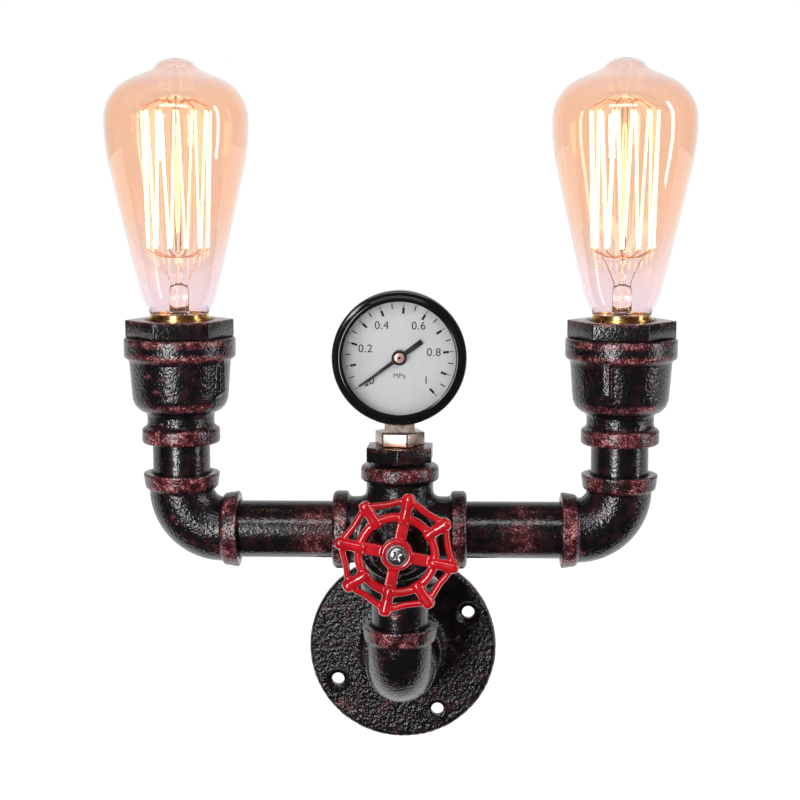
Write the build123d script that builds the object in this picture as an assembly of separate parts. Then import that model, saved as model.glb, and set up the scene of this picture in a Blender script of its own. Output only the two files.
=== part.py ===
from build123d import *
import math
import os

# Industrial pipe wall light in millimetres, +Z up. The wall is the plane y = 0 and the light faces -Y.
# The origin is the centre of the wall flange's back face. All pipes lie in one plane in front of the wall.

# Pipe, and the cast fittings that it screws into
PIPE_RADIUS = 13.0
PIPE_WALL = 2.6
THREAD_ROOM = 0.15             # between a pipe, or a plug, and its socket
SOCKET_DEPTH = 11.0
COLLAR_WIDTH = 7.4             # raised band round each opening of a fitting
COLLAR_EDGE = 0.8
ELBOW_BEND_RADIUS = 19.0
ELBOW_COLLAR_WALL = 4.15       # each wall is counted from the pipe's outside
ELBOW_BODY_WALL = 1.75
ELBOW_BORE_START = 3.0         # keeps the outer wall of the bend whole
ELBOW_PASSAGE_RADIUS = 8.5
CROSS_REACH = 30.5             # centre to face
CROSS_COLLAR_WALL = 4.8
CROSS_NECK_WALL = 2.3

# Where the fittings stand
AXIS_DEPTH = 63.0              # wall to the plane of the pipes
RISER_EXPOSED = 14.1
ARM_PIPE_EXPOSED = 42.7
CUP_NIPPLE_EXPOSED = 13.6

# Wall flange
FLANGE_RADIUS = 46.0
FLANGE_THICKNESS = 6.0
FLANGE_BEVEL = 1.6
FLANGE_HUB_WALL = 6.5
FLANGE_HUB_HEIGHT = 18.0
FLANGE_HUB_FOOT = 3.0
SCREW_COUNT = 4
SCREW_CIRCLE_RADIUS = 36.5
SCREW_HOLE_RADIUS = 3.1
SCREW_DISH_RADIUS = 6.1
SCREW_DISH_DEPTH = 2.6
SCREW_FIRST_ANGLE = 28.0       # anticlockwise from +X, seen from the front

# Lamp: pear-shaped glass on a 27 mm screw cap, heights from the cap's rim
CAP_RADIUS = 13.2
CAP_WALL = 0.35
CAP_RIM_ABOVE_HEX = 2.5
CAP_LENGTH = 23.5
INSULATOR_HEIGHT = 2.5
INSULATOR_TAPER = 2.2
FOOT_CONTACT_RADIUS = 4.75
FOOT_CONTACT_HEIGHT = 1.0
GLASS_WALL = 0.9
GLASS_ROOM = 0.25              # between the glass neck and the cap
GLASS_NECK_LENGTH = 6.0
BULB_RADIUS = 32.1
BULB_WIDEST = 86.3
CROWN_RISE = 27.3              # widest height to the tip
BULB_TAPER = 11.2              # degrees off upright
SHOULDER_RADIUS = 20.0
SHOULDER_TURN = 61.0
WAIST_RADIUS = 100.0
FOOT_CURVE_RADIUS = 39.0
FOOT_CURVE_TURN = 31.0
TIP_RADIUS = 8.0
TIP_HEIGHT = 3.6
TIP_SHOULDER = 2.9             # up the tip, where its slope eases

# Inside the lamp, heights from the cap's rim
STEM_RADIUS = 4.5
PRESS_TOP = 14.4
STEM_ROD_RADIUS = 1.4
STEM_BUTTON_RADIUS = 2.4
CAGE_FOOT = 28.0
CAGE_ABOVE_WIDEST = 6.7
CAGE_FOOT_RADIUS = 11.5
CAGE_TOP_RADIUS = 13.5
CAGE_HOOKS = 8
FILAMENT_RADIUS = 0.3
SUPPORT_RADIUS = 0.25
WIRE_GAP = 0.1

# Lampholder
CAP_ROOM = 0.3                 # between the cap and the shell
SHELL_WALL = 0.7
SHELL_ROOM = 0.15
SHELL_PROUD = 0.8              # brass lip above the hexagonal collar
SHELL_EYE_RADIUS = 6.5
HOLDER_WALL = 3.15
HOLDER_ROOM = 0.25             # inside the collar
HOLDER_FLOOR = 3.5
CONTACT_RADIUS = 4.5
CONTACT_SEAT = 2.0
CONTACT_PROUD = 1.3
CONTACT_GAP = 0.3              # under the lamp's foot

# Hexagonal collar in the cup's mouth
MOUTH_THREAD_WALL = 3.25
MOUTH_THREAD_DEPTH = 11.5
HEX_LEDGE = 0.2
HEX_HEIGHT = 7.8
HEX_BORE_ROOM = 0.7
HEX_TURN = {"left": 9.3, "right": -6.6}

# Lamp cup: a bell reducer, heights from its foot
CUP_FOOT_WALL = 4.7
CUP_FOOT_HEIGHT = 7.3
CUP_NECK_WALL = 2.3
CUP_NECK_TOP = 14.2
CUP_SHOULDER_TOP = 21.0
CUP_HOLDER_RISE = 5.5          # shoulder to the lampholder's foot
CUP_CHAMBER_ROOM = 1.1
CUP_WALL = 3.2
CUP_FLARE = 1.2
CUP_BAND_WALL = 4.2
CUP_BAND_HEIGHT = 9.5
CUP_RIB_WIDTH = 3.8
CUP_RIB_PROUD = 1.0
CUP_RIB_ANGLES = {"left": 57.0, "right": -21.0}   # from the front, towards +X

# Internal leads, one to each lampholder
LEAD_RADIUS = 2.0
LEAD_BEND_RADIUS = 20.0
LEAD_SPACING = 3.0             # each side of the middle
LEAD_ROOM = 0.15

# Valve at the front of the cross, heights in front of the pipes' plane
SPINDLE_RADIUS = 4.6
SPINDLE_ROOM = 0.05
SPINDLE_COLLAR_WALL = 1.9
SPINDLE_COLLAR_HEIGHT = 2.0
SPINDLE_COLLAR_GAP = 0.3
SPINDLE_EXPOSED = 2.5
GLAND_WALL = 3.4
GLAND_HEIGHT = 5.0
BONNET_STEP_LEDGE = 3.4
BONNET_STEP_HEIGHT = 4.5
BONNET_LEDGE = 2.1
BONNET_HEIGHT = 6.0

# Handwheel
LOBES = 8
FIRST_LOBE_ANGLE = 12.0        # clockwise from up
LOBE_TIP_RADIUS = 27.3
LOBE_WIDTH = 5.4
RIM_CORNER_INSET = 0.9
RIM_HOLLOW = 2.2
RIM_WIDTH = 2.9
WHEEL_RING_RADIUS = 18.3
WHEEL_RING_WIDTH = 3.9
WHEEL_THICKNESS = 6.0
WHEEL_EDGE = 0.7
SPOKES = 4
SPOKE_WIDTH = 5.0
SPOKE_THICKNESS = 3.6
HUB_RADIUS = 7.0
HUB_HEIGHT = 7.0
RING_ABOVE_HUB_BACK = 2.6
WHEEL_SCREW_RADIUS = 1.9
WHEEL_SCREW_LENGTH = 9.0
WHEEL_SCREW_HEAD_RADIUS = 4.0
WHEEL_SCREW_HEAD_HEIGHT = 2.2
SPINDLE_END_WALL = 1.1
WASHER_MARGIN = 0.6
WASHER_THICKNESS = 0.8

# Bushing, adapter and stem under the gauge
BUSHING_THREAD_SHOWN = 1.8
BUSHING_NECK_UNDERCUT = 0.6
BUSHING_ACROSS_FLATS = 29.3
BUSHING_HEX_HEIGHT = 6.6
BUSHING_TURN = 28.0
STEM_THREAD_RADIUS = 4.8
STEM_THREAD_LENGTH = 6.5
STEM_BORE_RADIUS = 1.5
STEM_BLOCK_SIDE = 13.5
STEM_SHOWN = 6.0               # between the adapter and the case
ADAPTER_THREAD_WALL = 3.2
ADAPTER_THREAD_LENGTH = 8.5
ADAPTER_LEDGE = 2.1
ADAPTER_HEX_HEIGHT = 6.7
ADAPTER_TURN = -16.0

# Gauge case, window and dial
CASE_RADIUS = 28.6
CASE_WALL = 1.5
CASE_BACK_DEPTH = 13.0         # behind the pipes' plane
CASE_FRONT_REACH = 14.0
CASE_ROOM = 0.1
BEZEL_WALL = 1.3
BEZEL_FACE_WIDTH = 4.8
BEZEL_SKIRT = 6.0
BEZEL_LIP = 1.2
BEZEL_STEP_WIDTH = 2.6
BEZEL_STEP_HEIGHT = 0.9
WINDOW_THICKNESS = 2.0
DIAL_ROOM = 0.7
DIAL_THICKNESS = 0.6

# Gauge movement, depths in front of the pipes' plane
PLATE_THICKNESS = 1.0
BACK_PLATE_DEPTH = 1.0
PLATE_SPACING = 6.5
PLATE_WIDTH = 15.0
PLATE_TOP = 5.6                # above the pointer's arbor
PILLAR_RADIUS = 1.0
PILLAR_SIDE = 5.6
PIVOT_ABOVE_BLOCK = 2.4
ARBOR_RADIUS = 0.6
ARBOR_ROOM = 0.05
TOOTH_MODULE = 0.3
PINION_TEETH = 12
SECTOR_TEETH = 96              # on the whole circle
SECTOR_SHOWN = (-4.0, 37.0)    # clockwise from up, degrees
SECTOR_THICKNESS = 0.8
SECTOR_DEPTH = 4.0
TOOTH_SHARE = 0.38             # half a tooth's width, as a share of the pitch
TOOTH_TIP_SHARE = 0.5          # of that half width
TOOTH_ROOT_SHARE = 1.3
TOOTH_ROOT_DEPTH = 1.2         # modules below the pitch circle
TOOTH_SINK = 0.1               # into the disc
SECTOR_ARM_INSET = 4.0         # degrees from each end of the teeth
TAIL_PIN = (7.6, 2.5)          # from the sector's pivot
LINK_WIDTH = 2.0
LINK_THICKNESS = 0.6
LINK_GAP = 0.15
LINK_PIN_RADIUS = 0.5
COIL_ROOM = 4.4                # between the pressure tube and the case
COIL_THICKNESS = 2.4
COIL_DEPTH = 7.0
COIL_WALL = 0.5
COIL_TIP_ANGLE = 110.0         # clockwise from up
HALF_TURN = 180.0              # degrees
HAIRSPRING_HALF_TURNS = 6
HAIRSPRING_PITCH = 1.2
HAIRSPRING_THICKNESS = 0.25
HAIRSPRING_WIDTH = 0.8
HAIRSPRING_GAP = 0.1           # round the arbor and in front of the back plate

# Pointer
POINTER_REST_ANGLE = 234.0     # clockwise from up, on the zero mark
POINTER_ABOVE_DIAL = 1.5
POINTER_THICKNESS = 0.6
POINTER_REACH = 20.5
POINTER_TAIL = 12.5
POINTER_TAIL_WIDTH = 2.5
POINTER_WIDTH = 1.2
POINTER_TIP_WIDTH = 0.5
POINTER_BOSS_RADIUS = 2.9
POINTER_BOSS_HEIGHT = 1.0
STOP_PIN_RADIUS = 0.5
STOP_PIN_INSET = 1.5           # from the pointer's tip
STOP_PIN_GAP = 0.3

# Radii that follow from the sizes
PIPE_BORE_RADIUS = PIPE_RADIUS - PIPE_WALL
SOCKET_RADIUS = PIPE_RADIUS + THREAD_ROOM
SHELL_RADIUS = CAP_RADIUS + CAP_ROOM + SHELL_WALL
HOLDER_RADIUS = SHELL_RADIUS + SHELL_ROOM + HOLDER_WALL
MOUTH_THREAD_RADIUS = HOLDER_RADIUS + HOLDER_ROOM + MOUTH_THREAD_WALL
CHAMBER_RADIUS = HOLDER_RADIUS + CUP_CHAMBER_ROOM
GLASS_NECK_RADIUS = CAP_RADIUS - CAP_WALL - GLASS_ROOM
GLAND_RADIUS = SPINDLE_RADIUS + GLAND_WALL
BONNET_STEP_RADIUS = GLAND_RADIUS + BONNET_STEP_LEDGE
SPINDLE_END_RADIUS = WHEEL_SCREW_RADIUS + SPINDLE_END_WALL
WASHER_RADIUS = WHEEL_SCREW_HEAD_RADIUS + WASHER_MARGIN
RIM_CORNER_RADIUS = LOBE_TIP_RADIUS - RIM_CORNER_INSET
ADAPTER_THREAD_RADIUS = STEM_THREAD_RADIUS + ADAPTER_THREAD_WALL
CASE_BORE_RADIUS = CASE_RADIUS - CASE_WALL
BEZEL_SEAT_RADIUS = CASE_RADIUS + CASE_ROOM
BEZEL_RADIUS = BEZEL_SEAT_RADIUS + BEZEL_WALL
COIL_RADIUS = CASE_BORE_RADIUS - COIL_ROOM - COIL_THICKNESS / 2

# Heights and places that follow from the sizes
STANDING = (Align.CENTER, Align.CENTER, Align.MIN)
AXIS_Y = -AXIS_DEPTH
ELBOW_REACH = ELBOW_BEND_RADIUS + COLLAR_WIDTH
ARM_Z = ELBOW_REACH + RISER_EXPOSED + CROSS_REACH
ARM_SPAN = CROSS_REACH + ARM_PIPE_EXPOSED + ELBOW_REACH
CUP_Z = ARM_Z + ELBOW_REACH + CUP_NIPPLE_EXPOSED
FOOT_BELOW_RIM = CAP_LENGTH + INSULATOR_HEIGHT + FOOT_CONTACT_HEIGHT
CONTACT_TOP_BELOW_HEX = FOOT_BELOW_RIM + CONTACT_GAP - CAP_RIM_ABOVE_HEX
HOLDER_LENGTH = CONTACT_TOP_BELOW_HEX - HEX_HEIGHT + CONTACT_PROUD + HOLDER_FLOOR
HOLDER_Z = CUP_SHOULDER_TOP + CUP_HOLDER_RISE              # from the cup's foot
CONTACT_Z = HOLDER_Z + HOLDER_FLOOR - CONTACT_SEAT         # from the cup's foot
CUP_HEIGHT = HOLDER_Z + HOLDER_LENGTH
CAP_RIM_Z = CUP_HEIGHT + HEX_HEIGHT + CAP_RIM_ABOVE_HEX    # from the cup's foot
BULB_LENGTH = BULB_WIDEST + CROWN_RISE
CAGE_TOP = BULB_WIDEST + CAGE_ABOVE_WIDEST
BUSHING_HEX_Z = ARM_Z + CROSS_REACH + BUSHING_THREAD_SHOWN
ADAPTER_Z = BUSHING_HEX_Z + BUSHING_HEX_HEIGHT
STEM_BLOCK_Z = ADAPTER_Z + ADAPTER_HEX_HEIGHT
GAUGE_RISE = STEM_SHOWN + CASE_RADIUS                      # stem block's foot to the dial's centre
GAUGE_Z = STEM_BLOCK_Z + GAUGE_RISE
PIVOT_DROP = TOOTH_MODULE * (PINION_TEETH + SECTOR_TEETH) / 2
BLOCK_TOP = -PIVOT_DROP - PIVOT_ABOVE_BLOCK                # from the dial's centre
FRONT_PLATE_DEPTH = BACK_PLATE_DEPTH + PLATE_THICKNESS + PLATE_SPACING
FRAME_DEPTH = PLATE_SPACING + 2 * PLATE_THICKNESS
DIAL_DEPTH = FRONT_PLATE_DEPTH + PLATE_THICKNESS
POINTER_DEPTH = DIAL_DEPTH + DIAL_THICKNESS + POINTER_ABOVE_DIAL
LINK_DEPTH = SECTOR_DEPTH - LINK_GAP - LINK_THICKNESS
WHEEL_BACK = CROSS_REACH + BONNET_HEIGHT + BONNET_STEP_HEIGHT + GLAND_HEIGHT + SPINDLE_EXPOSED

# Turns of a piece that stands along Z; facing the viewer, its X stays to the right and its Y is up
TO_VIEWER = Rot(90, 0, 0)
TO_RIGHT = Rot(0, 90, 0)
TO_LEFT = Rot(0, -90, 0)
CROSS_CENTRE = Pos(0, AXIS_Y, ARM_Z)
GAUGE_CENTRE = Pos(0, AXIS_Y, GAUGE_Z) * TO_VIEWER
SIDES = {"left": -1, "right": 1}

nodes = {}


def rod(radius, length):
    """A cylinder that stands on the XY plane."""
    return Cylinder(radius, length, align=STANDING)


def tube(radius, bore_radius, length):
    return rod(radius, length) - rod(bore_radius, length)


def bevelled_rod(radius, length, bevel):
    body = rod(radius, length)
    return chamfer(body.edges().filter_by(GeomType.CIRCLE), bevel)


def turned(*outline):
    """A solid turned about Z, from the (radius, height) points of its outline."""
    profile = make_face(Polyline(*[(radius, 0, height) for radius, height in outline], close=True))
    return revolve(profile, Axis.Z)


def hexagon(across_flats, height, turn=0.0):
    """A hexagonal prism that stands on the XY plane; a turn of 0 sets one flat to the front."""
    return extrude(RegularPolygon(across_flats / 2, 6, major_radius=False, rotation=turn), height)


def clock(radius, angle):
    """A point seen from the front, by its radius and its angle clockwise from up."""
    turn = math.radians(angle)
    return (radius * math.sin(turn), radius * math.cos(turn))


def wire(start, end, radius):
    """A fine six-sided wire from one point to another."""
    run = Vector(*end) - Vector(*start)
    return Plane(origin=start, z_dir=run) * extrude(RegularPolygon(radius, 6), run.length)


# Cast fittings and pipes

def port(reach, neck_radius, collar_radius):
    """One arm of a cast fitting, from its centre to its open face."""
    neck = rod(neck_radius, reach - COLLAR_WIDTH)
    return neck + Pos(0, 0, reach - COLLAR_WIDTH) * bevelled_rod(collar_radius, COLLAR_WIDTH, COLLAR_EDGE)


def port_bore(reach, passage_radius, start=0.0):
    """The passage of one arm, with the threaded socket at its mouth."""
    passage = Pos(0, 0, start) * rod(passage_radius, reach - start)
    return passage + Pos(0, 0, reach - SOCKET_DEPTH) * rod(SOCKET_RADIUS, SOCKET_DEPTH)


def elbow():
    """A 90 degree elbow with its centre at the origin, one face to +Z and the other to +X."""
    bend = ELBOW_BEND_RADIUS
    section = Pos(0, 0, bend) * Circle(PIPE_RADIUS + ELBOW_BODY_WALL)
    body = revolve(section, Axis((bend, 0, bend), (0, -1, 0)), 90)
    collar = Pos(0, 0, bend) * bevelled_rod(PIPE_RADIUS + ELBOW_COLLAR_WALL, COLLAR_WIDTH, COLLAR_EDGE)
    bore = port_bore(ELBOW_REACH, ELBOW_PASSAGE_RADIUS, ELBOW_BORE_START)
    return body + collar + TO_RIGHT * collar - bore - TO_RIGHT * bore


def pipe(exposed):
    """A pipe screwed into a fitting at each end; its exposed length starts at the first one's face."""
    length = exposed + 2 * SOCKET_DEPTH
    return Pos(0, 0, -SOCKET_DEPTH) * tube(PIPE_RADIUS, PIPE_BORE_RADIUS, length)


def wall_flange():
    """Round plate with a bevelled edge, a raised threaded hub and four dished screw holes."""
    hub_radius = PIPE_RADIUS + FLANGE_HUB_WALL
    plate = turned(
        (0, 0),
        (FLANGE_RADIUS, 0),
        (FLANGE_RADIUS, FLANGE_THICKNESS - FLANGE_BEVEL),
        (FLANGE_RADIUS - FLANGE_BEVEL, FLANGE_THICKNESS),
        (hub_radius + FLANGE_HUB_FOOT, FLANGE_THICKNESS),
        (hub_radius, FLANGE_THICKNESS + FLANGE_HUB_FOOT),
        (hub_radius, FLANGE_HUB_HEIGHT - COLLAR_EDGE),
        (hub_radius - COLLAR_EDGE, FLANGE_HUB_HEIGHT),
        (0, FLANGE_HUB_HEIGHT),
    )
    hole = rod(SCREW_HOLE_RADIUS, FLANGE_THICKNESS)
    dish_foot = FLANGE_THICKNESS - SCREW_DISH_DEPTH
    dish = Pos(0, 0, dish_foot) * Cone(
        SCREW_HOLE_RADIUS, SCREW_DISH_RADIUS, SCREW_DISH_DEPTH, align=STANDING
    )
    pattern = PolarLocations(SCREW_CIRCLE_RADIUS, SCREW_COUNT, SCREW_FIRST_ANGLE)
    holes = [place * (hole + dish) for place in pattern]
    return TO_VIEWER * (plate - port_bore(FLANGE_HUB_HEIGHT, PIPE_BORE_RADIUS) - holes)


def valve_cross():
    """Five-way cast cross: up, down, left, right and front."""
    arm = port(CROSS_REACH, PIPE_RADIUS + CROSS_NECK_WALL, PIPE_RADIUS + CROSS_COLLAR_WALL)
    bore = port_bore(CROSS_REACH, PIPE_BORE_RADIUS)
    ways = [Rot(0, 0, 0), Rot(180, 0, 0), TO_LEFT, TO_RIGHT, TO_VIEWER]
    body = Part() + [way * arm for way in ways]
    return CROSS_CENTRE * (body - [way * bore for way in ways])


nodes["wall_flange"] = wall_flange()
nodes["wall_nipple"] = Pos(0, -FLANGE_HUB_HEIGHT, 0) * TO_VIEWER * pipe(
    AXIS_DEPTH - ELBOW_REACH - FLANGE_HUB_HEIGHT
)
nodes["base_elbow"] = Pos(0, AXIS_Y, 0) * Rot(0, 0, 90) * elbow()
nodes["riser_nipple"] = Pos(0, AXIS_Y, ELBOW_REACH) * pipe(RISER_EXPOSED)
nodes["valve_cross"] = valve_cross()


# Lamp arms

def lamp_cup(side):
    """Bell reducer: small foot band, neck, flared body and wide mouth band, with two cast ribs."""
    foot_radius = PIPE_RADIUS + CUP_FOOT_WALL
    neck_radius = PIPE_RADIUS + CUP_NECK_WALL
    body_radius = CHAMBER_RADIUS + CUP_WALL
    body_top_radius = body_radius + CUP_FLARE
    band_radius = MOUTH_THREAD_RADIUS + CUP_BAND_WALL
    band_foot = CUP_HEIGHT - CUP_BAND_HEIGHT
    outside = turned(
        (0, 0),
        (foot_radius - COLLAR_EDGE, 0),
        (foot_radius, COLLAR_EDGE),
        (foot_radius, CUP_FOOT_HEIGHT - COLLAR_EDGE),
        (foot_radius - COLLAR_EDGE, CUP_FOOT_HEIGHT),
        (neck_radius, CUP_FOOT_HEIGHT),
        (neck_radius, CUP_NECK_TOP),
        (body_radius, CUP_SHOULDER_TOP),
        (body_top_radius, band_foot),
        (band_radius - COLLAR_EDGE, band_foot),
        (band_radius, band_foot + COLLAR_EDGE),
        (band_radius, CUP_HEIGHT - COLLAR_EDGE),
        (band_radius - COLLAR_EDGE, CUP_HEIGHT),
        (0, CUP_HEIGHT),
    )
    thread_foot = CUP_HEIGHT - MOUTH_THREAD_DEPTH
    inside = turned(
        (0, 0),
        (SOCKET_RADIUS, 0),
        (SOCKET_RADIUS, SOCKET_DEPTH),
        (PIPE_BORE_RADIUS, SOCKET_DEPTH),
        (PIPE_BORE_RADIUS, CUP_NECK_TOP),
        (CHAMBER_RADIUS, CUP_SHOULDER_TOP),
        (CHAMBER_RADIUS, thread_foot),
        (MOUTH_THREAD_RADIUS + THREAD_ROOM, thread_foot),
        (MOUTH_THREAD_RADIUS + THREAD_ROOM, CUP_HEIGHT),
        (0, CUP_HEIGHT),
    )
    rib_reach = body_top_radius + CUP_RIB_PROUD
    rib_height = band_foot + COLLAR_EDGE - CUP_SHOULDER_TOP
    rib = Pos(0, 0, CUP_SHOULDER_TOP) * Box(CUP_RIB_WIDTH, 2 * rib_reach, rib_height, align=STANDING)
    return outside + Rot(0, 0, CUP_RIB_ANGLES[side]) * rib - inside


def hex_collar(side):
    """Hexagonal bushing: its thread fills the cup's mouth, and its shoulder holds the lampholder down."""
    thread = Pos(0, 0, -MOUTH_THREAD_DEPTH) * tube(
        MOUTH_THREAD_RADIUS, HOLDER_RADIUS + HOLDER_ROOM, MOUTH_THREAD_DEPTH
    )
    head = hexagon(2 * (MOUTH_THREAD_RADIUS + HEX_LEDGE), HEX_HEIGHT, HEX_TURN[side])
    head -= rod(SHELL_RADIUS + HEX_BORE_ROOM, HEX_HEIGHT)
    return Pos(0, 0, CUP_HEIGHT) * (thread + head)


def lampholder():
    """Ceramic body, open at the top, with seats for the contact above and the lead below its floor."""
    body = rod(HOLDER_RADIUS, HOLDER_LENGTH)
    well = Pos(0, 0, HOLDER_FLOOR) * rod(SHELL_RADIUS + SHELL_ROOM, HOLDER_LENGTH - HOLDER_FLOOR)
    contact_seat = Pos(0, 0, HOLDER_FLOOR - CONTACT_SEAT) * rod(CONTACT_RADIUS + LEAD_ROOM, CONTACT_SEAT)
    lead_hole = rod(LEAD_RADIUS + LEAD_ROOM, HOLDER_FLOOR - CONTACT_SEAT)
    return Pos(0, 0, HOLDER_Z) * (body - well - contact_seat - lead_hole)


def screw_shell():
    """Brass shell inside the lampholder; its lip shows at the collar's mouth."""
    height = HOLDER_LENGTH - HOLDER_FLOOR + HEX_HEIGHT + SHELL_PROUD
    cup = rod(SHELL_RADIUS, height) - Pos(0, 0, SHELL_WALL) * rod(SHELL_RADIUS - SHELL_WALL, height)
    return Pos(0, 0, HOLDER_Z + HOLDER_FLOOR) * (cup - rod(SHELL_EYE_RADIUS, SHELL_WALL))


def centre_contact():
    """Springy contact that the lamp's foot presses on."""
    return Pos(0, 0, CONTACT_Z) * rod(CONTACT_RADIUS, CONTACT_SEAT + CONTACT_PROUD)


def lead(direction):
    """Round two-core lead: in at the wall, up the riser, along the arm and up to the lampholder."""
    offset = direction * LEAD_SPACING
    route = [
        (offset, 0, 0),
        (offset, AXIS_Y, 0),
        (offset, AXIS_Y, ARM_Z),
        (direction * ARM_SPAN, AXIS_Y, ARM_Z),
        (direction * ARM_SPAN, AXIS_Y, CUP_Z + CONTACT_Z),
    ]
    path = FilletPolyline(*route, radius=LEAD_BEND_RADIUS)
    start = Plane(origin=route[0], z_dir=(0, -1, 0))
    return sweep(start * Circle(LEAD_RADIUS), path=path)


# Lamps

def arc_points(centre, radius, start, stop, steps):
    """Points of an arc in the (radius, height) plane; its angles are up from outwards."""
    angles = [math.radians(start + (stop - start) * step / steps) for step in range(steps + 1)]
    return [(centre[0] + radius * math.cos(a), centre[1] + radius * math.sin(a)) for a in angles]


def glass_outline(inset):
    """The pear's outline from foot to tip, drawn in by inset all round."""
    foot_centre = bulb_foot_centre()
    foot = arc_points(foot_centre, FOOT_CURVE_RADIUS - inset, -FOOT_CURVE_TURN, -BULB_TAPER, 3)
    waist_centre = (BULB_RADIUS - WAIST_RADIUS, BULB_WIDEST)
    waist = arc_points(waist_centre, WAIST_RADIUS - inset, -BULB_TAPER, 0, 3)
    shoulder_centre = (BULB_RADIUS - SHOULDER_RADIUS, BULB_WIDEST)
    shoulder = arc_points(shoulder_centre, SHOULDER_RADIUS - inset, 0, SHOULDER_TURN, 6)
    tip_foot = BULB_LENGTH - TIP_HEIGHT - inset
    tip = [(TIP_RADIUS, tip_foot), (TIP_RADIUS / 2, tip_foot + TIP_SHOULDER), (0, BULB_LENGTH - inset)]
    return foot + waist + shoulder[1:] + tip


def bulb_foot_centre():
    """Centre of the small curve at the glass's foot, which runs into the straight taper."""
    taper = math.radians(BULB_TAPER)
    turn = math.radians(FOOT_CURVE_TURN)
    waist_foot_radius = BULB_RADIUS - WAIST_RADIUS * (1 - math.cos(taper))
    waist_foot_height = BULB_WIDEST - WAIST_RADIUS * math.sin(taper)
    centre_height = FOOT_CURVE_RADIUS * math.sin(turn)
    curve_top_height = centre_height - FOOT_CURVE_RADIUS * math.sin(taper)
    curve_top_radius = waist_foot_radius - (waist_foot_height - curve_top_height) * math.tan(taper)
    return (curve_top_radius - FOOT_CURVE_RADIUS * math.cos(taper), centre_height)


def bulb_glass():
    """Thin pear-shaped envelope, open at its neck, which sits in the cap."""
    outside = [(0, -GLASS_NECK_LENGTH), (GLASS_NECK_RADIUS, -GLASS_NECK_LENGTH), (GLASS_NECK_RADIUS, 0)]
    neck_bore = GLASS_NECK_RADIUS - GLASS_WALL
    inside = [(0, -GLASS_NECK_LENGTH), (neck_bore, -GLASS_NECK_LENGTH), (neck_bore, GLASS_WALL)]
    return turned(*outside, *glass_outline(0)) - turned(*inside, *glass_outline(GLASS_WALL))


def bulb_cap():
    """Thin metal screw cap, open at both ends."""
    return Pos(0, 0, -CAP_LENGTH) * tube(CAP_RADIUS, CAP_RADIUS - CAP_WALL, CAP_LENGTH)


def cap_insulator():
    """Dark glass cone between the cap and its foot contact."""
    foot = -CAP_LENGTH - INSULATOR_HEIGHT
    return turned(
        (0, foot),
        (FOOT_CONTACT_RADIUS + 2 * CAP_WALL, foot),
        (CAP_RADIUS - INSULATOR_TAPER, -CAP_LENGTH),
        (CAP_RADIUS - CAP_WALL, -CAP_LENGTH),
        (CAP_RADIUS - CAP_WALL, -CAP_LENGTH + INSULATOR_HEIGHT),
        (0, -CAP_LENGTH + INSULATOR_HEIGHT),
    )


def foot_contact():
    return Pos(0, 0, -FOOT_BELOW_RIM) * rod(FOOT_CONTACT_RADIUS, FOOT_CONTACT_HEIGHT)


def bulb_stem():
    """Glass stem: flare sealed in the neck, tube, flat press and the rod with its two buttons."""
    flare = GLASS_NECK_RADIUS - GLASS_WALL
    button = STEM_BUTTON_RADIUS - STEM_ROD_RADIUS
    return turned(
        (0, -GLASS_NECK_LENGTH),
        (flare, -GLASS_NECK_LENGTH),
        (flare, -GLASS_NECK_LENGTH + GLASS_WALL),
        (STEM_RADIUS, 0),
        (STEM_RADIUS, PRESS_TOP - STEM_RADIUS),
        (STEM_ROD_RADIUS, PRESS_TOP),
        (STEM_ROD_RADIUS, CAGE_FOOT - 2 * button),
        (STEM_BUTTON_RADIUS, CAGE_FOOT - button),
        (STEM_BUTTON_RADIUS, CAGE_FOOT + button),
        (STEM_ROD_RADIUS, CAGE_FOOT + 2 * button),
        (STEM_ROD_RADIUS, CAGE_TOP - 2 * button),
        (STEM_BUTTON_RADIUS, CAGE_TOP - button),
        (STEM_BUTTON_RADIUS, CAGE_TOP + button),
        (0, CAGE_TOP + 2 * button),
    )


def hook_point(index, half_steps, radius, height):
    """One hook of the cage; the lower hooks stand half a step round from the upper ones."""
    return (*clock(radius, (index + half_steps) * 360 / CAGE_HOOKS), height)


def filament():
    """Squirrel-cage filament, which runs up and down between the upper and the lower hooks."""
    strands = []
    for index in range(CAGE_HOOKS):
        top = hook_point(index, 0.5, CAGE_TOP_RADIUS, CAGE_TOP)
        before = hook_point(index, 0, CAGE_FOOT_RADIUS, CAGE_FOOT)
        after = hook_point(index, 1, CAGE_FOOT_RADIUS, CAGE_FOOT)
        strands += [wire(before, top, FILAMENT_RADIUS), wire(top, after, FILAMENT_RADIUS)]
    return Part() + strands


def support_wires():
    """Fine hooks out of the stem's two buttons, and the two lead-in wires from its press."""
    wires = []
    levels = ((0.5, CAGE_TOP_RADIUS, CAGE_TOP), (0, CAGE_FOOT_RADIUS, CAGE_FOOT))
    for index in range(CAGE_HOOKS):
        for half, hook_radius, height in levels:
            inner = hook_point(index, half, STEM_BUTTON_RADIUS + WIRE_GAP, height)
            outer = hook_point(index, half, hook_radius - FILAMENT_RADIUS, height)
            wires.append(wire(inner, outer, SUPPORT_RADIUS))
    for side in (-1, 1):
        start = (side * (STEM_RADIUS + SUPPORT_RADIUS + WIRE_GAP), 0, PRESS_TOP - STEM_RADIUS)
        end = (side * (CAGE_FOOT_RADIUS - FILAMENT_RADIUS), 0, CAGE_FOOT - 2 * SUPPORT_RADIUS)
        wires.append(wire(start, end, SUPPORT_RADIUS))
    return Part() + wires


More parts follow.
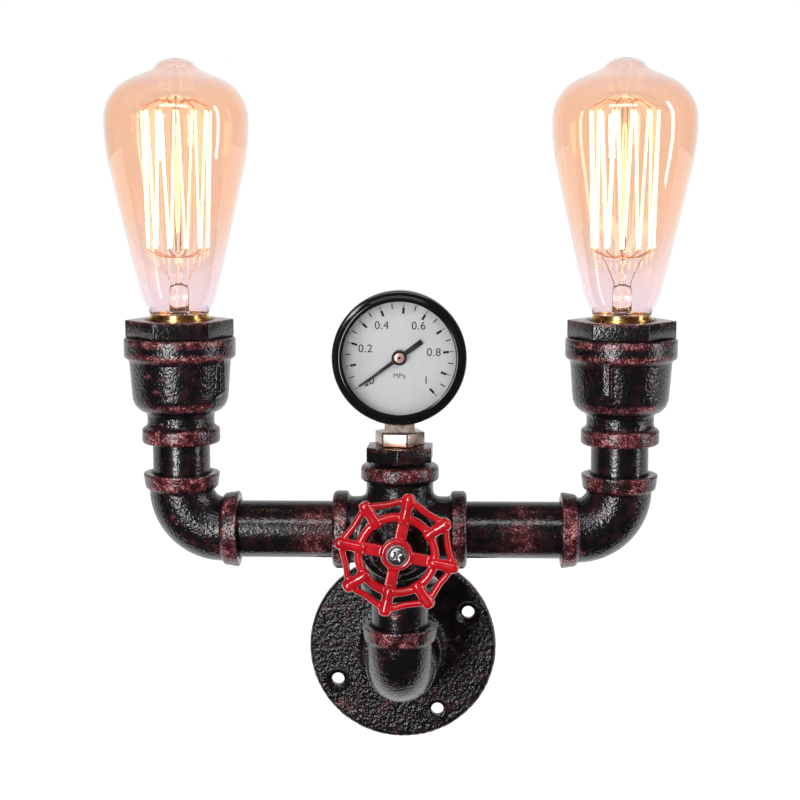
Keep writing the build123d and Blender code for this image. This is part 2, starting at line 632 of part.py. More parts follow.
for side, direction in SIDES.items():
    arm_turn = TO_LEFT if direction < 0 else TO_RIGHT
    arm_place = Pos(direction * CROSS_REACH, AXIS_Y, ARM_Z) * arm_turn
    elbow_turn = Rot(0, 0, 0) if direction < 0 else Rot(0, 0, 180)
    column = Pos(direction * ARM_SPAN, AXIS_Y, 0)
    cup_place = column * Pos(0, 0, CUP_Z)
    lamp_place = cup_place * Pos(0, 0, CAP_RIM_Z)
    nodes["arm_pipe_" + side] = arm_place * pipe(ARM_PIPE_EXPOSED)
    nodes["arm_elbow_" + side] = column * Pos(0, 0, ARM_Z) * elbow_turn * elbow()
    nodes["cup_nipple_" + side] = column * Pos(0, 0, ARM_Z + ELBOW_REACH) * pipe(CUP_NIPPLE_EXPOSED)
    nodes["lamp_cup_" + side] = cup_place * lamp_cup(side)
    nodes["hex_collar_" + side] = cup_place * hex_collar(side)
    nodes["lampholder_" + side] = cup_place * lampholder()
    nodes["screw_shell_" + side] = cup_place * screw_shell()
    nodes["centre_contact_" + side] = cup_place * centre_contact()
    nodes["lead_" + side] = lead(direction)
    nodes["bulb_glass_" + side] = lamp_place * bulb_glass()
    nodes["bulb_cap_" + side] = lamp_place * bulb_cap()
    nodes["cap_insulator_" + side] = lamp_place * cap_insulator()
    nodes["foot_contact_" + side] = lamp_place * foot_contact()
    nodes["bulb_stem_" + side] = lamp_place * bulb_stem()
    nodes["filament_" + side] = lamp_place * filament()
    nodes["support_wires_" + side] = lamp_place * support_wires()


# Valve and handwheel, drawn as seen from the front, with their heights towards the viewer

def valve_bonnet():
    """Screwed plug with two steps; the spindle's collar is trapped in the recess behind it."""
    foot = CROSS_REACH - SOCKET_DEPTH
    step_foot = CROSS_REACH + BONNET_HEIGHT
    body = Pos(0, 0, foot) * rod(PIPE_RADIUS, SOCKET_DEPTH)
    body += Pos(0, 0, CROSS_REACH) * bevelled_rod(
        BONNET_STEP_RADIUS + BONNET_LEDGE, BONNET_HEIGHT, COLLAR_EDGE
    )
    body += Pos(0, 0, step_foot) * rod(BONNET_STEP_RADIUS, BONNET_STEP_HEIGHT)
    recess_radius = SPINDLE_RADIUS + SPINDLE_COLLAR_WALL + SPINDLE_COLLAR_GAP
    recess = Pos(0, 0, foot) * rod(recess_radius, SOCKET_DEPTH)
    return body - recess - rod(SPINDLE_RADIUS + SPINDLE_ROOM, step_foot + BONNET_STEP_HEIGHT)


def gland_nut():
    nut = hexagon(2 * GLAND_RADIUS, GLAND_HEIGHT) - rod(SPINDLE_RADIUS + SPINDLE_ROOM, GLAND_HEIGHT)
    return Pos(0, 0, CROSS_REACH + BONNET_HEIGHT + BONNET_STEP_HEIGHT) * nut


def valve_spindle():
    """Spindle with the collar that keeps it in, and a reduced end that the wheel sits on."""
    collar_foot = CROSS_REACH - SPINDLE_COLLAR_GAP - SPINDLE_COLLAR_HEIGHT
    end_top = WHEEL_BACK + HUB_HEIGHT - WASHER_THICKNESS
    shaft = Pos(0, 0, collar_foot) * rod(SPINDLE_RADIUS, WHEEL_BACK - collar_foot)
    collar_radius = SPINDLE_RADIUS + SPINDLE_COLLAR_WALL
    collar = Pos(0, 0, collar_foot) * rod(collar_radius, SPINDLE_COLLAR_HEIGHT)
    end = Pos(0, 0, WHEEL_BACK) * rod(SPINDLE_END_RADIUS, end_top - WHEEL_BACK)
    screw_hole = Pos(0, 0, end_top - WHEEL_SCREW_LENGTH) * rod(
        WHEEL_SCREW_RADIUS + SPINDLE_ROOM, WHEEL_SCREW_LENGTH
    )
    return shaft + collar + end - screw_hole


def rim_face(inset):
    """Eight-sided face with hollow sides, one corner at each lobe."""
    step = 360 / LOBES
    sides = []
    for lobe in range(LOBES):
        angle = FIRST_LOBE_ANGLE + lobe * step
        start = clock(RIM_CORNER_RADIUS - inset, angle)
        middle = clock(RIM_CORNER_RADIUS - RIM_HOLLOW - inset, angle + step / 2)
        end = clock(RIM_CORNER_RADIUS - inset, angle + step)
        sides.append(ThreePointArc(start, middle, end))
    return make_face(sides)


def handwheel():
    """Cast wheel: inner ring, hollow-sided rim and eight fat fingers, on four sunk spokes and a hub."""
    ring = Circle(WHEEL_RING_RADIUS) - Circle(WHEEL_RING_RADIUS - WHEEL_RING_WIDTH)
    rim = rim_face(0) - rim_face(RIM_WIDTH)
    outline = ring + rim
    finger_start = WHEEL_RING_RADIUS - WHEEL_RING_WIDTH / 2
    finger_end = LOBE_TIP_RADIUS - LOBE_WIDTH / 2
    for lobe in range(LOBES):
        turn = Rot(0, 0, -FIRST_LOBE_ANGLE - lobe * 360 / LOBES)
        middle = (finger_start + finger_end) / 2
        finger = Rectangle(LOBE_WIDTH, finger_end - finger_start)
        outline += turn * Pos(0, middle) * finger + turn * Pos(0, finger_end) * Circle(LOBE_WIDTH / 2)
    wheel = Pos(0, 0, RING_ABOVE_HUB_BACK) * extrude(outline, WHEEL_THICKNESS)
    spoke_length = WHEEL_RING_RADIUS - WHEEL_RING_WIDTH / 2
    for spoke in range(SPOKES):
        turn = Rot(0, 0, -FIRST_LOBE_ANGLE - spoke * 360 / SPOKES)
        bar = Pos(0, spoke_length / 2, RING_ABOVE_HUB_BACK) * Box(
            SPOKE_WIDTH, spoke_length, SPOKE_THICKNESS, align=STANDING
        )
        wheel += turn * bar
    wheel += bevelled_rod(HUB_RADIUS, HUB_HEIGHT, WHEEL_EDGE)
    seat_foot = HUB_HEIGHT - WASHER_THICKNESS
    bore = rod(SPINDLE_END_RADIUS + SPINDLE_ROOM, seat_foot)
    washer_seat = Pos(0, 0, seat_foot) * rod(WASHER_RADIUS + SPINDLE_ROOM, WASHER_THICKNESS)
    return Pos(0, 0, WHEEL_BACK) * (wheel - bore - washer_seat)


def wheel_washer():
    washer = tube(WASHER_RADIUS, WHEEL_SCREW_RADIUS + SPINDLE_ROOM, WASHER_THICKNESS)
    return Pos(0, 0, WHEEL_BACK + HUB_HEIGHT - WASHER_THICKNESS) * washer


def wheel_screw():
    shank = Pos(0, 0, -WHEEL_SCREW_LENGTH) * rod(WHEEL_SCREW_RADIUS, WHEEL_SCREW_LENGTH)
    head = bevelled_rod(WHEEL_SCREW_HEAD_RADIUS, WHEEL_SCREW_HEAD_HEIGHT, WHEEL_EDGE)
    return Pos(0, 0, WHEEL_BACK + HUB_HEIGHT) * (shank + head)


for name, piece in {
    "valve_bonnet": valve_bonnet(),
    "gland_nut": gland_nut(),
    "valve_spindle": valve_spindle(),
    "handwheel": handwheel(),
    "wheel_washer": wheel_washer(),
    "wheel_screw": wheel_screw(),
}.items():
    nodes[name] = CROSS_CENTRE * TO_VIEWER * piece


# Bushing and adapter under the gauge

def gauge_bushing():
    """Black reducing bushing, with a little of its neck left showing above the cross."""
    neck_radius = PIPE_RADIUS - BUSHING_NECK_UNDERCUT
    neck = Pos(0, 0, -BUSHING_THREAD_SHOWN) * rod(neck_radius, BUSHING_THREAD_SHOWN)
    length = SOCKET_DEPTH + BUSHING_THREAD_SHOWN
    thread = Pos(0, 0, -length) * rod(PIPE_RADIUS, SOCKET_DEPTH)
    body = thread + neck + hexagon(BUSHING_ACROSS_FLATS, BUSHING_HEX_HEIGHT, BUSHING_TURN)
    bore = rod(ADAPTER_THREAD_RADIUS + THREAD_ROOM, length + BUSHING_HEX_HEIGHT)
    return body - Pos(0, 0, -length) * bore


def gauge_adapter():
    """Bright hexagonal adapter between the bushing and the gauge's stem."""
    body = Pos(0, 0, -ADAPTER_THREAD_LENGTH) * rod(ADAPTER_THREAD_RADIUS, ADAPTER_THREAD_LENGTH)
    body += hexagon(2 * (ADAPTER_THREAD_RADIUS + ADAPTER_LEDGE), ADAPTER_HEX_HEIGHT, ADAPTER_TURN)
    bore = rod(STEM_THREAD_RADIUS + THREAD_ROOM, ADAPTER_THREAD_LENGTH + ADAPTER_HEX_HEIGHT)
    return body - Pos(0, 0, -ADAPTER_THREAD_LENGTH) * bore


def gauge_stem():
    """Square brass stem block with its thread below; it carries the tube and the movement."""
    height = GAUGE_RISE + BLOCK_TOP
    block = Box(STEM_BLOCK_SIDE, STEM_BLOCK_SIDE, height, align=STANDING)
    thread = Pos(0, 0, -STEM_THREAD_LENGTH) * rod(STEM_THREAD_RADIUS, STEM_THREAD_LENGTH)
    passage = Pos(0, 0, -STEM_THREAD_LENGTH) * rod(STEM_BORE_RADIUS, STEM_THREAD_LENGTH + height / 2)
    return block + thread - passage


nodes["gauge_bushing"] = Pos(0, AXIS_Y, BUSHING_HEX_Z) * gauge_bushing()
nodes["gauge_adapter"] = Pos(0, AXIS_Y, ADAPTER_Z) * gauge_adapter()
nodes["gauge_stem"] = Pos(0, AXIS_Y, STEM_BLOCK_Z) * gauge_stem()


# Gauge, drawn as seen from the front about the dial's centre, with its depths towards the viewer

def ring_sector(outer_radius, inner_radius, start, stop, thickness):
    """A flat ring's piece between two angles clockwise from up."""
    middle = (start + stop) / 2
    edges = [
        ThreePointArc(clock(outer_radius, start), clock(outer_radius, middle), clock(outer_radius, stop)),
        Line(clock(outer_radius, stop), clock(inner_radius, stop)),
        ThreePointArc(clock(inner_radius, stop), clock(inner_radius, middle), clock(inner_radius, start)),
        Line(clock(inner_radius, start), clock(outer_radius, start)),
    ]
    return extrude(make_face(edges), thickness)


def gauge_case():
    """Round pressed case, open to the front, with a square opening for the stem below."""
    depth = CASE_BACK_DEPTH + CASE_FRONT_REACH
    shell = rod(CASE_RADIUS, depth) - Pos(0, 0, CASE_WALL) * rod(CASE_BORE_RADIUS, depth)
    side = STEM_BLOCK_SIDE + 2 * CASE_ROOM
    opening = Pos(0, -CASE_RADIUS, CASE_BACK_DEPTH) * Box(side, CASE_RADIUS, side)
    return Pos(0, 0, -CASE_BACK_DEPTH) * (shell - opening)


def gauge_bezel():
    """Stepped ring that holds the window against the case's rim."""
    skirt_foot = CASE_FRONT_REACH - BEZEL_SKIRT
    window_front = CASE_FRONT_REACH + WINDOW_THICKNESS
    front = window_front + BEZEL_LIP
    step_radius = BEZEL_RADIUS - BEZEL_STEP_WIDTH
    opening_radius = BEZEL_RADIUS - BEZEL_FACE_WIDTH
    return turned(
        (BEZEL_SEAT_RADIUS, skirt_foot),
        (BEZEL_RADIUS, skirt_foot),
        (BEZEL_RADIUS, front - BEZEL_STEP_HEIGHT),
        (step_radius, front - BEZEL_STEP_HEIGHT),
        (step_radius, front),
        (opening_radius, front),
        (opening_radius, window_front),
        (BEZEL_SEAT_RADIUS, window_front),
    )


def gauge_window():
    return Pos(0, 0, CASE_FRONT_REACH) * rod(CASE_RADIUS, WINDOW_THICKNESS)


def stop_pin_point():
    """Beside the resting pointer, on the side that it must not cross."""
    reach = POINTER_REACH - STOP_PIN_INSET
    offset = POINTER_WIDTH / 2 + STOP_PIN_RADIUS + STOP_PIN_GAP
    return clock(reach, POINTER_REST_ANGLE - math.degrees(offset / reach))


def gauge_dial():
    """Flat dial plate, with a hole for the pointer's arbor and one for the stop pin."""
    plate = rod(CASE_BORE_RADIUS - DIAL_ROOM, DIAL_THICKNESS) - rod(2 * ARBOR_RADIUS, DIAL_THICKNESS)
    pin_hole = Pos(*stop_pin_point()) * rod(STOP_PIN_RADIUS, DIAL_THICKNESS)
    return Pos(0, 0, DIAL_DEPTH) * (plate - pin_hole)


def stop_pin():
    length = POINTER_DEPTH + POINTER_THICKNESS - DIAL_DEPTH
    return Pos(*stop_pin_point(), DIAL_DEPTH) * rod(STOP_PIN_RADIUS, length)


def movement_frame():
    """Two brass plates on four pillars, which stand on the stem block and carry the two arbors."""
    plate = Pos(0, (BLOCK_TOP + PLATE_TOP) / 2) * Rectangle(PLATE_WIDTH, PLATE_TOP - BLOCK_TOP)
    hole = Circle(ARBOR_RADIUS + ARBOR_ROOM)
    pierced = extrude(plate - hole - Pos(0, -PIVOT_DROP) * hole, PLATE_THICKNESS)
    frame = Pos(0, 0, BACK_PLATE_DEPTH) * pierced + Pos(0, 0, FRONT_PLATE_DEPTH) * pierced
    for x in (-PILLAR_SIDE, PILLAR_SIDE):
        for y in (BLOCK_TOP + PILLAR_RADIUS, PLATE_TOP - PILLAR_RADIUS):
            frame += Pos(x, y, BACK_PLATE_DEPTH) * rod(PILLAR_RADIUS, FRAME_DEPTH)
    return frame


def toothed(root_radius, tip_radius, pitch_radius, teeth, kept):
    """A disc's face with straight-sided teeth; kept lists the numbers of the teeth that are cut."""
    pitch_angle = 360 / teeth
    face = Circle(root_radius)
    half_width = TOOTH_SHARE * math.pi * pitch_radius / teeth
    tip_half = half_width * TOOTH_TIP_SHARE
    root_half = half_width * TOOTH_ROOT_SHARE
    for index in kept:
        tooth = Polygon(
            (-root_half, root_radius - TOOTH_SINK),
            (root_half, root_radius - TOOTH_SINK),
            (tip_half, tip_radius),
            (-tip_half, tip_radius),
            align=None,
        )
        face += Rot(0, 0, -index * pitch_angle) * tooth
    return face


def pinion_shaft():
    """Arbor through both plates, with a twelve-tooth pinion that meshes with the sector."""
    radius = TOOTH_MODULE * PINION_TEETH / 2
    depth = SECTOR_DEPTH - SECTOR_THICKNESS
    root = radius - TOOTH_MODULE * TOOTH_ROOT_DEPTH
    kept = [index + 0.5 for index in range(PINION_TEETH)]
    teeth = toothed(root, radius + TOOTH_MODULE, radius, PINION_TEETH, kept)
    pinion = Pos(0, 0, depth) * extrude(teeth, 3 * SECTOR_THICKNESS)
    arbor = Pos(0, 0, BACK_PLATE_DEPTH) * rod(ARBOR_RADIUS, POINTER_DEPTH - BACK_PLATE_DEPTH)
    return pinion + arbor


def sector_gear():
    """Toothed sector on its own arbor, with the tail that the link pulls."""
    radius = TOOTH_MODULE * SECTOR_TEETH / 2
    root = radius - TOOTH_MODULE * TOOTH_ROOT_DEPTH
    pitch_angle = 360 / SECTOR_TEETH
    first = math.ceil(SECTOR_SHOWN[0] / pitch_angle)
    last = math.floor(SECTOR_SHOWN[1] / pitch_angle)
    start, stop = SECTOR_SHOWN
    toothed_disc = toothed(root, radius + TOOTH_MODULE, radius, SECTOR_TEETH, range(first, last + 1))
    arc = extrude(toothed_disc, SECTOR_THICKNESS) & ring_sector(
        radius + 2 * TOOTH_MODULE, root - LINK_WIDTH, start, stop, SECTOR_THICKNESS
    )
    pivot_eye = rod(LINK_WIDTH, SECTOR_THICKNESS)
    body = arc + pivot_eye
    for angle in (start + SECTOR_ARM_INSET, stop - SECTOR_ARM_INSET):
        arm = Pos(0, root / 2) * Rectangle(LINK_WIDTH, root - LINK_WIDTH / 2)
        body += Rot(0, 0, -angle) * extrude(arm, SECTOR_THICKNESS)
    tail_length = math.hypot(*TAIL_PIN)
    tail_angle = math.degrees(math.atan2(TAIL_PIN[0], TAIL_PIN[1]))
    tail = Pos(0, tail_length / 2) * Rectangle(LINK_WIDTH, tail_length)
    tail += Pos(0, tail_length) * Circle(LINK_WIDTH / 2)
    body += Rot(0, 0, -tail_angle) * extrude(tail, SECTOR_THICKNESS)
    pin = Pos(*TAIL_PIN, LINK_DEPTH) * rod(LINK_PIN_RADIUS, SECTOR_DEPTH - LINK_DEPTH)
    arbor = Pos(0, 0, BACK_PLATE_DEPTH) * rod(ARBOR_RADIUS, FRAME_DEPTH)
    return Pos(0, -PIVOT_DROP, 0) * (Pos(0, 0, SECTOR_DEPTH) * body + pin + arbor)


def coil_tip_point():
    return clock(COIL_RADIUS, COIL_TIP_ANGLE)


def movement_link():
    """Flat link from the sector's tail pin to the end of the pressure tube."""
    start = Vector(TAIL_PIN[0], TAIL_PIN[1] - PIVOT_DROP)
    run = Vector(*coil_tip_point()) - start
    hole = Circle(LINK_PIN_RADIUS + ARBOR_ROOM)
    bar = Pos(run.length / 2, 0) * SlotCenterToCenter(run.length, LINK_WIDTH)
    bar -= hole + Pos(run.length, 0) * hole
    angle = math.degrees(math.atan2(run.Y, run.X))
    return Pos(start.X, start.Y, LINK_DEPTH) * Rot(0, 0, angle) * extrude(bar, LINK_THICKNESS)


def bourdon_tube():
    """Flattened brass tube bent to a C, from the stem block round to its free end."""
    outer = COIL_RADIUS + COIL_THICKNESS / 2
    inner = COIL_RADIUS - COIL_THICKNESS / 2
    start = HALF_TURN + math.degrees(math.asin(STEM_BLOCK_SIDE / 2 / inner))
    stop = 2 * HALF_TURN + COIL_TIP_ANGLE
    wall = ring_sector(outer, inner, start, stop, COIL_DEPTH)
    end_cap = math.degrees(COIL_WALL / COIL_RADIUS)
    hollow = ring_sector(
        outer - COIL_WALL, inner + COIL_WALL, start, stop - end_cap, COIL_DEPTH - 2 * COIL_WALL
    )
    return Pos(0, 0, LINK_DEPTH - LINK_GAP - COIL_DEPTH) * (wall - Pos(0, 0, COIL_WALL) * hollow)


def hairspring():
    """Flat spiral round the pinion's arbor: half circles, each half a pitch wider than the last."""
    first_radius = ARBOR_RADIUS + HAIRSPRING_GAP + (HAIRSPRING_THICKNESS + HAIRSPRING_PITCH / 2) / 2
    ribbon = Sketch()
    for half in range(HAIRSPRING_HALF_TURNS):
        side = -1 if half % 2 == 0 else 1
        start = 0 if half % 2 == 0 else HALF_TURN
        radius = first_radius + half * HAIRSPRING_PITCH / 2
        arc = CenterArc((side * HAIRSPRING_PITCH / 4, 0), radius, start, HALF_TURN)
        ribbon += trace(arc, HAIRSPRING_THICKNESS)
    depth = BACK_PLATE_DEPTH + PLATE_THICKNESS + HAIRSPRING_GAP
    return Pos(0, 0, depth) * extrude(ribbon, HAIRSPRING_WIDTH)


def gauge_pointer():
    """Black pointer with a straight tail, and the boss that grips the shaft."""
    blade = Polygon(
        (-POINTER_WIDTH / 2, 0),
        (POINTER_WIDTH / 2, 0),
        (POINTER_TIP_WIDTH / 2, POINTER_REACH),
        (-POINTER_TIP_WIDTH / 2, POINTER_REACH),
        align=None,
    )
    tail = Pos(0, -POINTER_TAIL / 2) * Rectangle(POINTER_TAIL_WIDTH, POINTER_TAIL)
    body = extrude(blade + tail, POINTER_THICKNESS)
    body += rod(POINTER_BOSS_RADIUS, POINTER_THICKNESS + POINTER_BOSS_HEIGHT)
    return Pos(0, 0, POINTER_DEPTH) * Rot(0, 0, -POINTER_REST_ANGLE) * body


for name, piece in {
    "gauge_case": gauge_case(),
    "gauge_bezel": gauge_bezel(),
    "gauge_window": gauge_window(),
    "gauge_dial": gauge_dial(),
    "stop_pin": stop_pin(),
    "movement_frame": movement_frame(),
    "bourdon_tube": bourdon_tube(),
    "hairspring": hairspring(),
    "pinion_shaft": pinion_shaft(),
    "sector_gear": sector_gear(),
    "movement_link": movement_link(),
    "gauge_pointer": gauge_pointer(),
}.items():
    nodes[name] = GAUGE_CENTRE * piece

os.makedirs("parts", exist_ok=True)
for name, piece in nodes.items():
    piece.label = name
    export_step(piece, "parts/" + name + ".step")
print(len(nodes), "nodes; leads bend at radius", LEAD_BEND_RADIUS, "mm, diameter", 2 * LEAD_RADIUS, "mm")
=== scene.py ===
import math
import bpy
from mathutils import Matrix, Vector


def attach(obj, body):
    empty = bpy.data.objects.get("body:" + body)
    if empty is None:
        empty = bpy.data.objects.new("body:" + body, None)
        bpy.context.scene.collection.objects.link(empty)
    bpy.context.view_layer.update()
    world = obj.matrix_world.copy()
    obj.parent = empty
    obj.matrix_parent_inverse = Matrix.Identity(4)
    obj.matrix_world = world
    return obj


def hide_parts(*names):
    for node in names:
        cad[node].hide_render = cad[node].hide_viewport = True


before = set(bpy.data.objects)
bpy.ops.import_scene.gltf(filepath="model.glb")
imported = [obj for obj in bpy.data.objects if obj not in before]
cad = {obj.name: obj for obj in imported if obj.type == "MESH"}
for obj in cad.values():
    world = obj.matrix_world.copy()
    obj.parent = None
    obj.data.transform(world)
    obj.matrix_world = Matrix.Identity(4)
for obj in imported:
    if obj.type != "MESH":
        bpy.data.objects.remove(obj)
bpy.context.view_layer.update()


# Wall flange: a round floor flange, sand cast in iron, with a threaded hub and four dished screw holes.
# Its face is grainy and its rim uneven. Like every fitting here it is painted satin black, then rubbed on
# its high spots, so that dark red shows.

MM = 0.001
X, Y, Z = range(3)
AXIS = 0.1  # in millimetres: a ring this small shuts a turned form's end


def turned(name, rings, segments=96):
    """Draws a circle up through each (radius, height), in millimetres about the Z axis."""
    bpy.ops.object.select_all(action="DESELECT")
    radius, height = rings[0]
    bpy.ops.mesh.primitive_circle_add(vertices=segments, radius=radius * MM, location=(0, 0, 0))
    piece = bpy.context.object
    piece.name = name
    bpy.ops.object.mode_set(mode="EDIT")
    bpy.ops.mesh.select_all(action="SELECT")
    bpy.ops.transform.translate(value=(0, 0, height * MM))
    for next_radius, next_height in rings[1:]:
        rise = (next_height - height) * MM
        bpy.ops.mesh.extrude_region_move(TRANSFORM_OT_translate={"value": (0, 0, rise)})
        growth = next_radius / radius
        bpy.ops.transform.resize(value=(growth, growth, 1), center_override=(0, 0, next_height * MM))
        radius, height = next_radius, next_height
    close_up()
    return piece


def close_up():
    """Merges what meets, turns the faces outwards and leaves edit mode."""
    bpy.ops.mesh.select_all(action="SELECT")
    bpy.ops.mesh.remove_doubles(threshold=0.03 * MM)
    bpy.ops.mesh.normals_make_consistent(inside=False)
    bpy.ops.object.mode_set(mode="OBJECT")


def pick(*pieces):
    """Selects just these pieces, the first of them active."""
    bpy.ops.object.select_all(action="DESELECT")
    for piece in pieces:
        piece.select_set(True)
    bpy.context.view_layer.objects.active = pieces[0]


def put(piece, place=(0, 0, 0), turn=(0, 0, 0)):
    """Moves a piece, in millimetres and degrees, and applies it."""
    piece.location = [value * MM for value in place]
    piece.rotation_euler = [math.radians(angle) for angle in turn]
    pick(piece)
    bpy.ops.object.transform_apply(location=True, rotation=True, scale=True)
    return piece


def modified(piece, kind, **settings):
    """Adds a modifier with these settings and applies it."""
    pick(piece)
    modifier = piece.modifiers.new("shape", kind)
    for key, value in settings.items():
        setattr(modifier, key, value)
    bpy.ops.object.modifier_apply(modifier=modifier.name)
    return piece


def cast(piece, skin, softness):
    """Runs overlapping forms into one casting with soft edges; skin is its mesh size in millimetres."""
    modified(piece, "REMESH", mode="VOXEL", voxel_size=skin * MM)
    modified(piece, "SMOOTH", factor=0.5, iterations=softness)
    return piece


def cut(piece, *cutters):
    """Machines a piece with cutters, which are used up."""
    for cutter in cutters:
        modified(piece, "BOOLEAN", operation="DIFFERENCE", object=cutter, solver="EXACT")
        bpy.data.objects.remove(cutter)
    return piece


def fitted(piece, body, slot, finish, *nodes, smooth=35):
    """Finishes a piece: smooth faces, its finish, the body that it rides on and what it stands for."""
    pick(piece)
    bpy.ops.object.shade_smooth_by_angle(angle=math.radians(smooth))
    piece.data.materials.clear()
    piece.data.materials.append(finish)
    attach(piece, body)
    if nodes:
        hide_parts(*nodes)
    return piece


def new_finish(name):
    """Starts a finish that is made of nodes."""
    finish = bpy.data.materials.new(name)
    finish.use_nodes = True
    return finish


def wired(finish, node, inputs):
    """Sets each input of a node to a value, or to another node's output."""
    for key, value in inputs.items():
        if isinstance(value, bpy.types.NodeSocket):
            finish.node_tree.links.new(value, node.inputs[key])
        else:
            node.inputs[key].default_value = value


def pattern(finish, kind, inputs, **settings):
    """Adds one node to a finish and gives its first output."""
    node = finish.node_tree.nodes.new("ShaderNode" + kind)
    for key, value in settings.items():
        setattr(node, key, value)
    wired(finish, node, inputs)
    return node.outputs[0]


def coated(finish, **inputs):
    """Sets the finish's shader; each name is a socket's name with its spaces left out."""
    shader = finish.node_tree.nodes["Principled BSDF"]
    names = {socket.name.replace(" ", ""): socket.name for socket in shader.inputs}
    wired(finish, shader, {names[key]: value for key, value in inputs.items()})
    return finish


def coordinate(finish, kind):
    """The surface's own place (Object), in metres, or the way that it looks (Normal)."""
    return finish.node_tree.nodes.new("ShaderNodeTexCoord").outputs[kind]


def part_of(finish, vector, axis):
    """A vector's share along one axis."""
    node = finish.node_tree.nodes.new("ShaderNodeSeparateXYZ")
    finish.node_tree.links.new(vector, node.inputs[0])
    return node.outputs[axis]


def along(finish, axis):
    """The place of the surface along one axis, in metres."""
    return part_of(finish, coordinate(finish, "Object"), axis)


def eased(finish, value, low, high, start=0.0, end=1.0):
    """Runs smoothly from start to end as the value goes from low to high."""
    return pattern(finish, "MapRange", {"Value": value, "From Min": low, "From Max": high,
                                        "To Min": start, "To Max": end}, interpolation_type="SMOOTHSTEP")


def facing(finish, axis, low, high, most=1.0):
    """Rises from nothing to most as the surface's normal along an axis goes from low to high."""
    return eased(finish, part_of(finish, coordinate(finish, "Normal"), axis), low, high, 0.0, most)


def noise(finish, size, detail=3.0, roughness=0.5, stretch=(1, 1, 1)):
    """Even noise whose lumps are about so many millimetres across, longer where stretch is under 1."""
    spread = pattern(finish, "Mapping", {"Vector": coordinate(finish, "Object"), "Scale": stretch})
    return pattern(finish, "TexNoise", {"Vector": spread, "Scale": 1 / (size * MM), "Detail": detail,
                                        "Roughness": roughness})


def times(finish, first, second):
    """One share taken of another."""
    return pattern(finish, "Math", {0: first, 1: second}, operation="MULTIPLY")


def either(finish, first, second):
    """The greater of two shares."""
    return pattern(finish, "Math", {0: first, 1: second}, operation="MAXIMUM")


def tinted(finish, share, first, second):
    """Goes from the first colour to the second by a share."""
    return pattern(finish, "MixRGB", {"Fac": share, "Color1": first, "Color2": second})


def stretch_of(finish, axis, low, high, soft=1.0):
    """One inside a stretch along an axis, in millimetres, and nothing outside it."""
    value = along(finish, axis)
    rise = eased(finish, value, (low - soft) * MM, (low + soft) * MM)
    return times(finish, rise, eased(finish, value, (high - soft) * MM, (high + soft) * MM, 1.0, 0.0))


BLACK_PAINT = (0.0045, 0.004, 0.0045, 1)
WARM_BLACK = (0.022, 0.007, 0.009, 1)
RUBBED_RED = (0.20, 0.020, 0.028, 1)
# pale pink for the speckle over the rubbed red: painted glints, standing for the sheen of the worn paint
PAINTED_GLINT_PINK = (0.66, 0.36, 0.39, 1)
PATCH, CLOUD, BRUSH, GRIT = 9, 6, 4.0, 0.8  # how wide the paint's marks are, in millimetres
BACK_SHARE = 0.35  # of the rubbing, on what doesn't look to the room
RED_GLOSS = 0.5  # the roughness of what is rubbed bare


def rubbed_paint(name, grain, rub, stretches=(), spread=0.62, gloss=0.20, lump=1.5, tops=0.0):
    """Black paint over red, with bumps grain high and lump wide, in millimetres. Rub is how much red shows,
    in patches, fewer at a higher spread, on stretches along an axis, and by tops on faces that look up."""
    finish = new_finish(name)
    strong = eased(finish, noise(finish, PATCH, 4.0, 0.6), spread - 0.05, spread + 0.06)
    for axis, low, high, *soft in stretches:
        broken = eased(finish, noise(finish, PATCH, 2.0), 0.33, 0.56, 0.15, 1.0)
        band = stretch_of(finish, axis, low, high, *soft)
        strong = either(finish, strong, times(finish, band, broken))
    to_room = either(finish, facing(finish, Y, -0.25, -0.85), BACK_SHARE)
    to_ceiling = facing(finish, Z, 0.7, 0.95, tops)
    strong = times(finish, either(finish, times(finish, to_room, strong), to_ceiling), rub)

    grit = noise(finish, GRIT, 3.0, 0.7)
    brush = noise(finish, BRUSH, 4.0, 0.7)
    red = times(finish, eased(finish, brush, 0.36, 0.60, 0.15, 1.0),
                eased(finish, grit, 0.34, 0.60, 0.45, 1.0))
    bare = times(finish, strong, red)
    # fine pale pink speckles on the rubbed patches: painted glints, standing for the sheen of the worn red
    # paint
    painted_glints = times(finish, eased(finish, brush, 0.42, 0.62), eased(finish, grit, 0.50, 0.62))
    black = tinted(finish, eased(finish, noise(finish, CLOUD, 4.0), 0.45, 0.70), BLACK_PAINT, WARM_BLACK)
    colour = tinted(finish, bare, black, RUBBED_RED)
    colour = tinted(finish, times(finish, strong, painted_glints), colour, PAINTED_GLINT_PINK)

    shine = either(finish, eased(finish, grit, 0.3, 0.7, gloss - 0.05, gloss + 0.12),
                   times(finish, bare, RED_GLOSS))
    bump = pattern(finish, "Bump", {"Height": noise(finish, lump, 2.0, 0.55), "Strength": 1.0,
                                    "Distance": grain * MM})
    return coated(finish, BaseColor=colour, Roughness=shine, SpecularIORLevel=0.6, Normal=bump)


FACE_TO_ROOM = (90, 0, 0)
FLANGE_RADIUS = 46
FLANGE_PLATE = 6  # its thickness
HUB_TOP = 17.9
HUB_BORE = 13.4
CABLE_OUTLET = 10.4
FLANGE_RINGS = [
    (CABLE_OUTLET, 0), (FLANGE_RADIUS, 0), (FLANGE_RADIUS, 4.2), (45.4, 5.4), (44.4, FLANGE_PLATE),
    (24.2, FLANGE_PLATE), (21.2, 6.8), (19.8, 9), (19.5, 16.4), (18.4, HUB_TOP), (14.6, HUB_TOP),
    (HUB_BORE, 17), (HUB_BORE, 7), (CABLE_OUTLET, 7), (CABLE_OUTLET, 0)]
DRILL_RINGS = [(AXIS, -1), (3.1, -1), (3.1, 3.0), (4.6, 3.7), (6.3, 6.2), (6.3, 8), (AXIS, 8)]
SCREW_HOLES = 4
SCREW_CIRCLE = 36.5  # its radius
FIRST_SCREW = 28  # degrees from the right

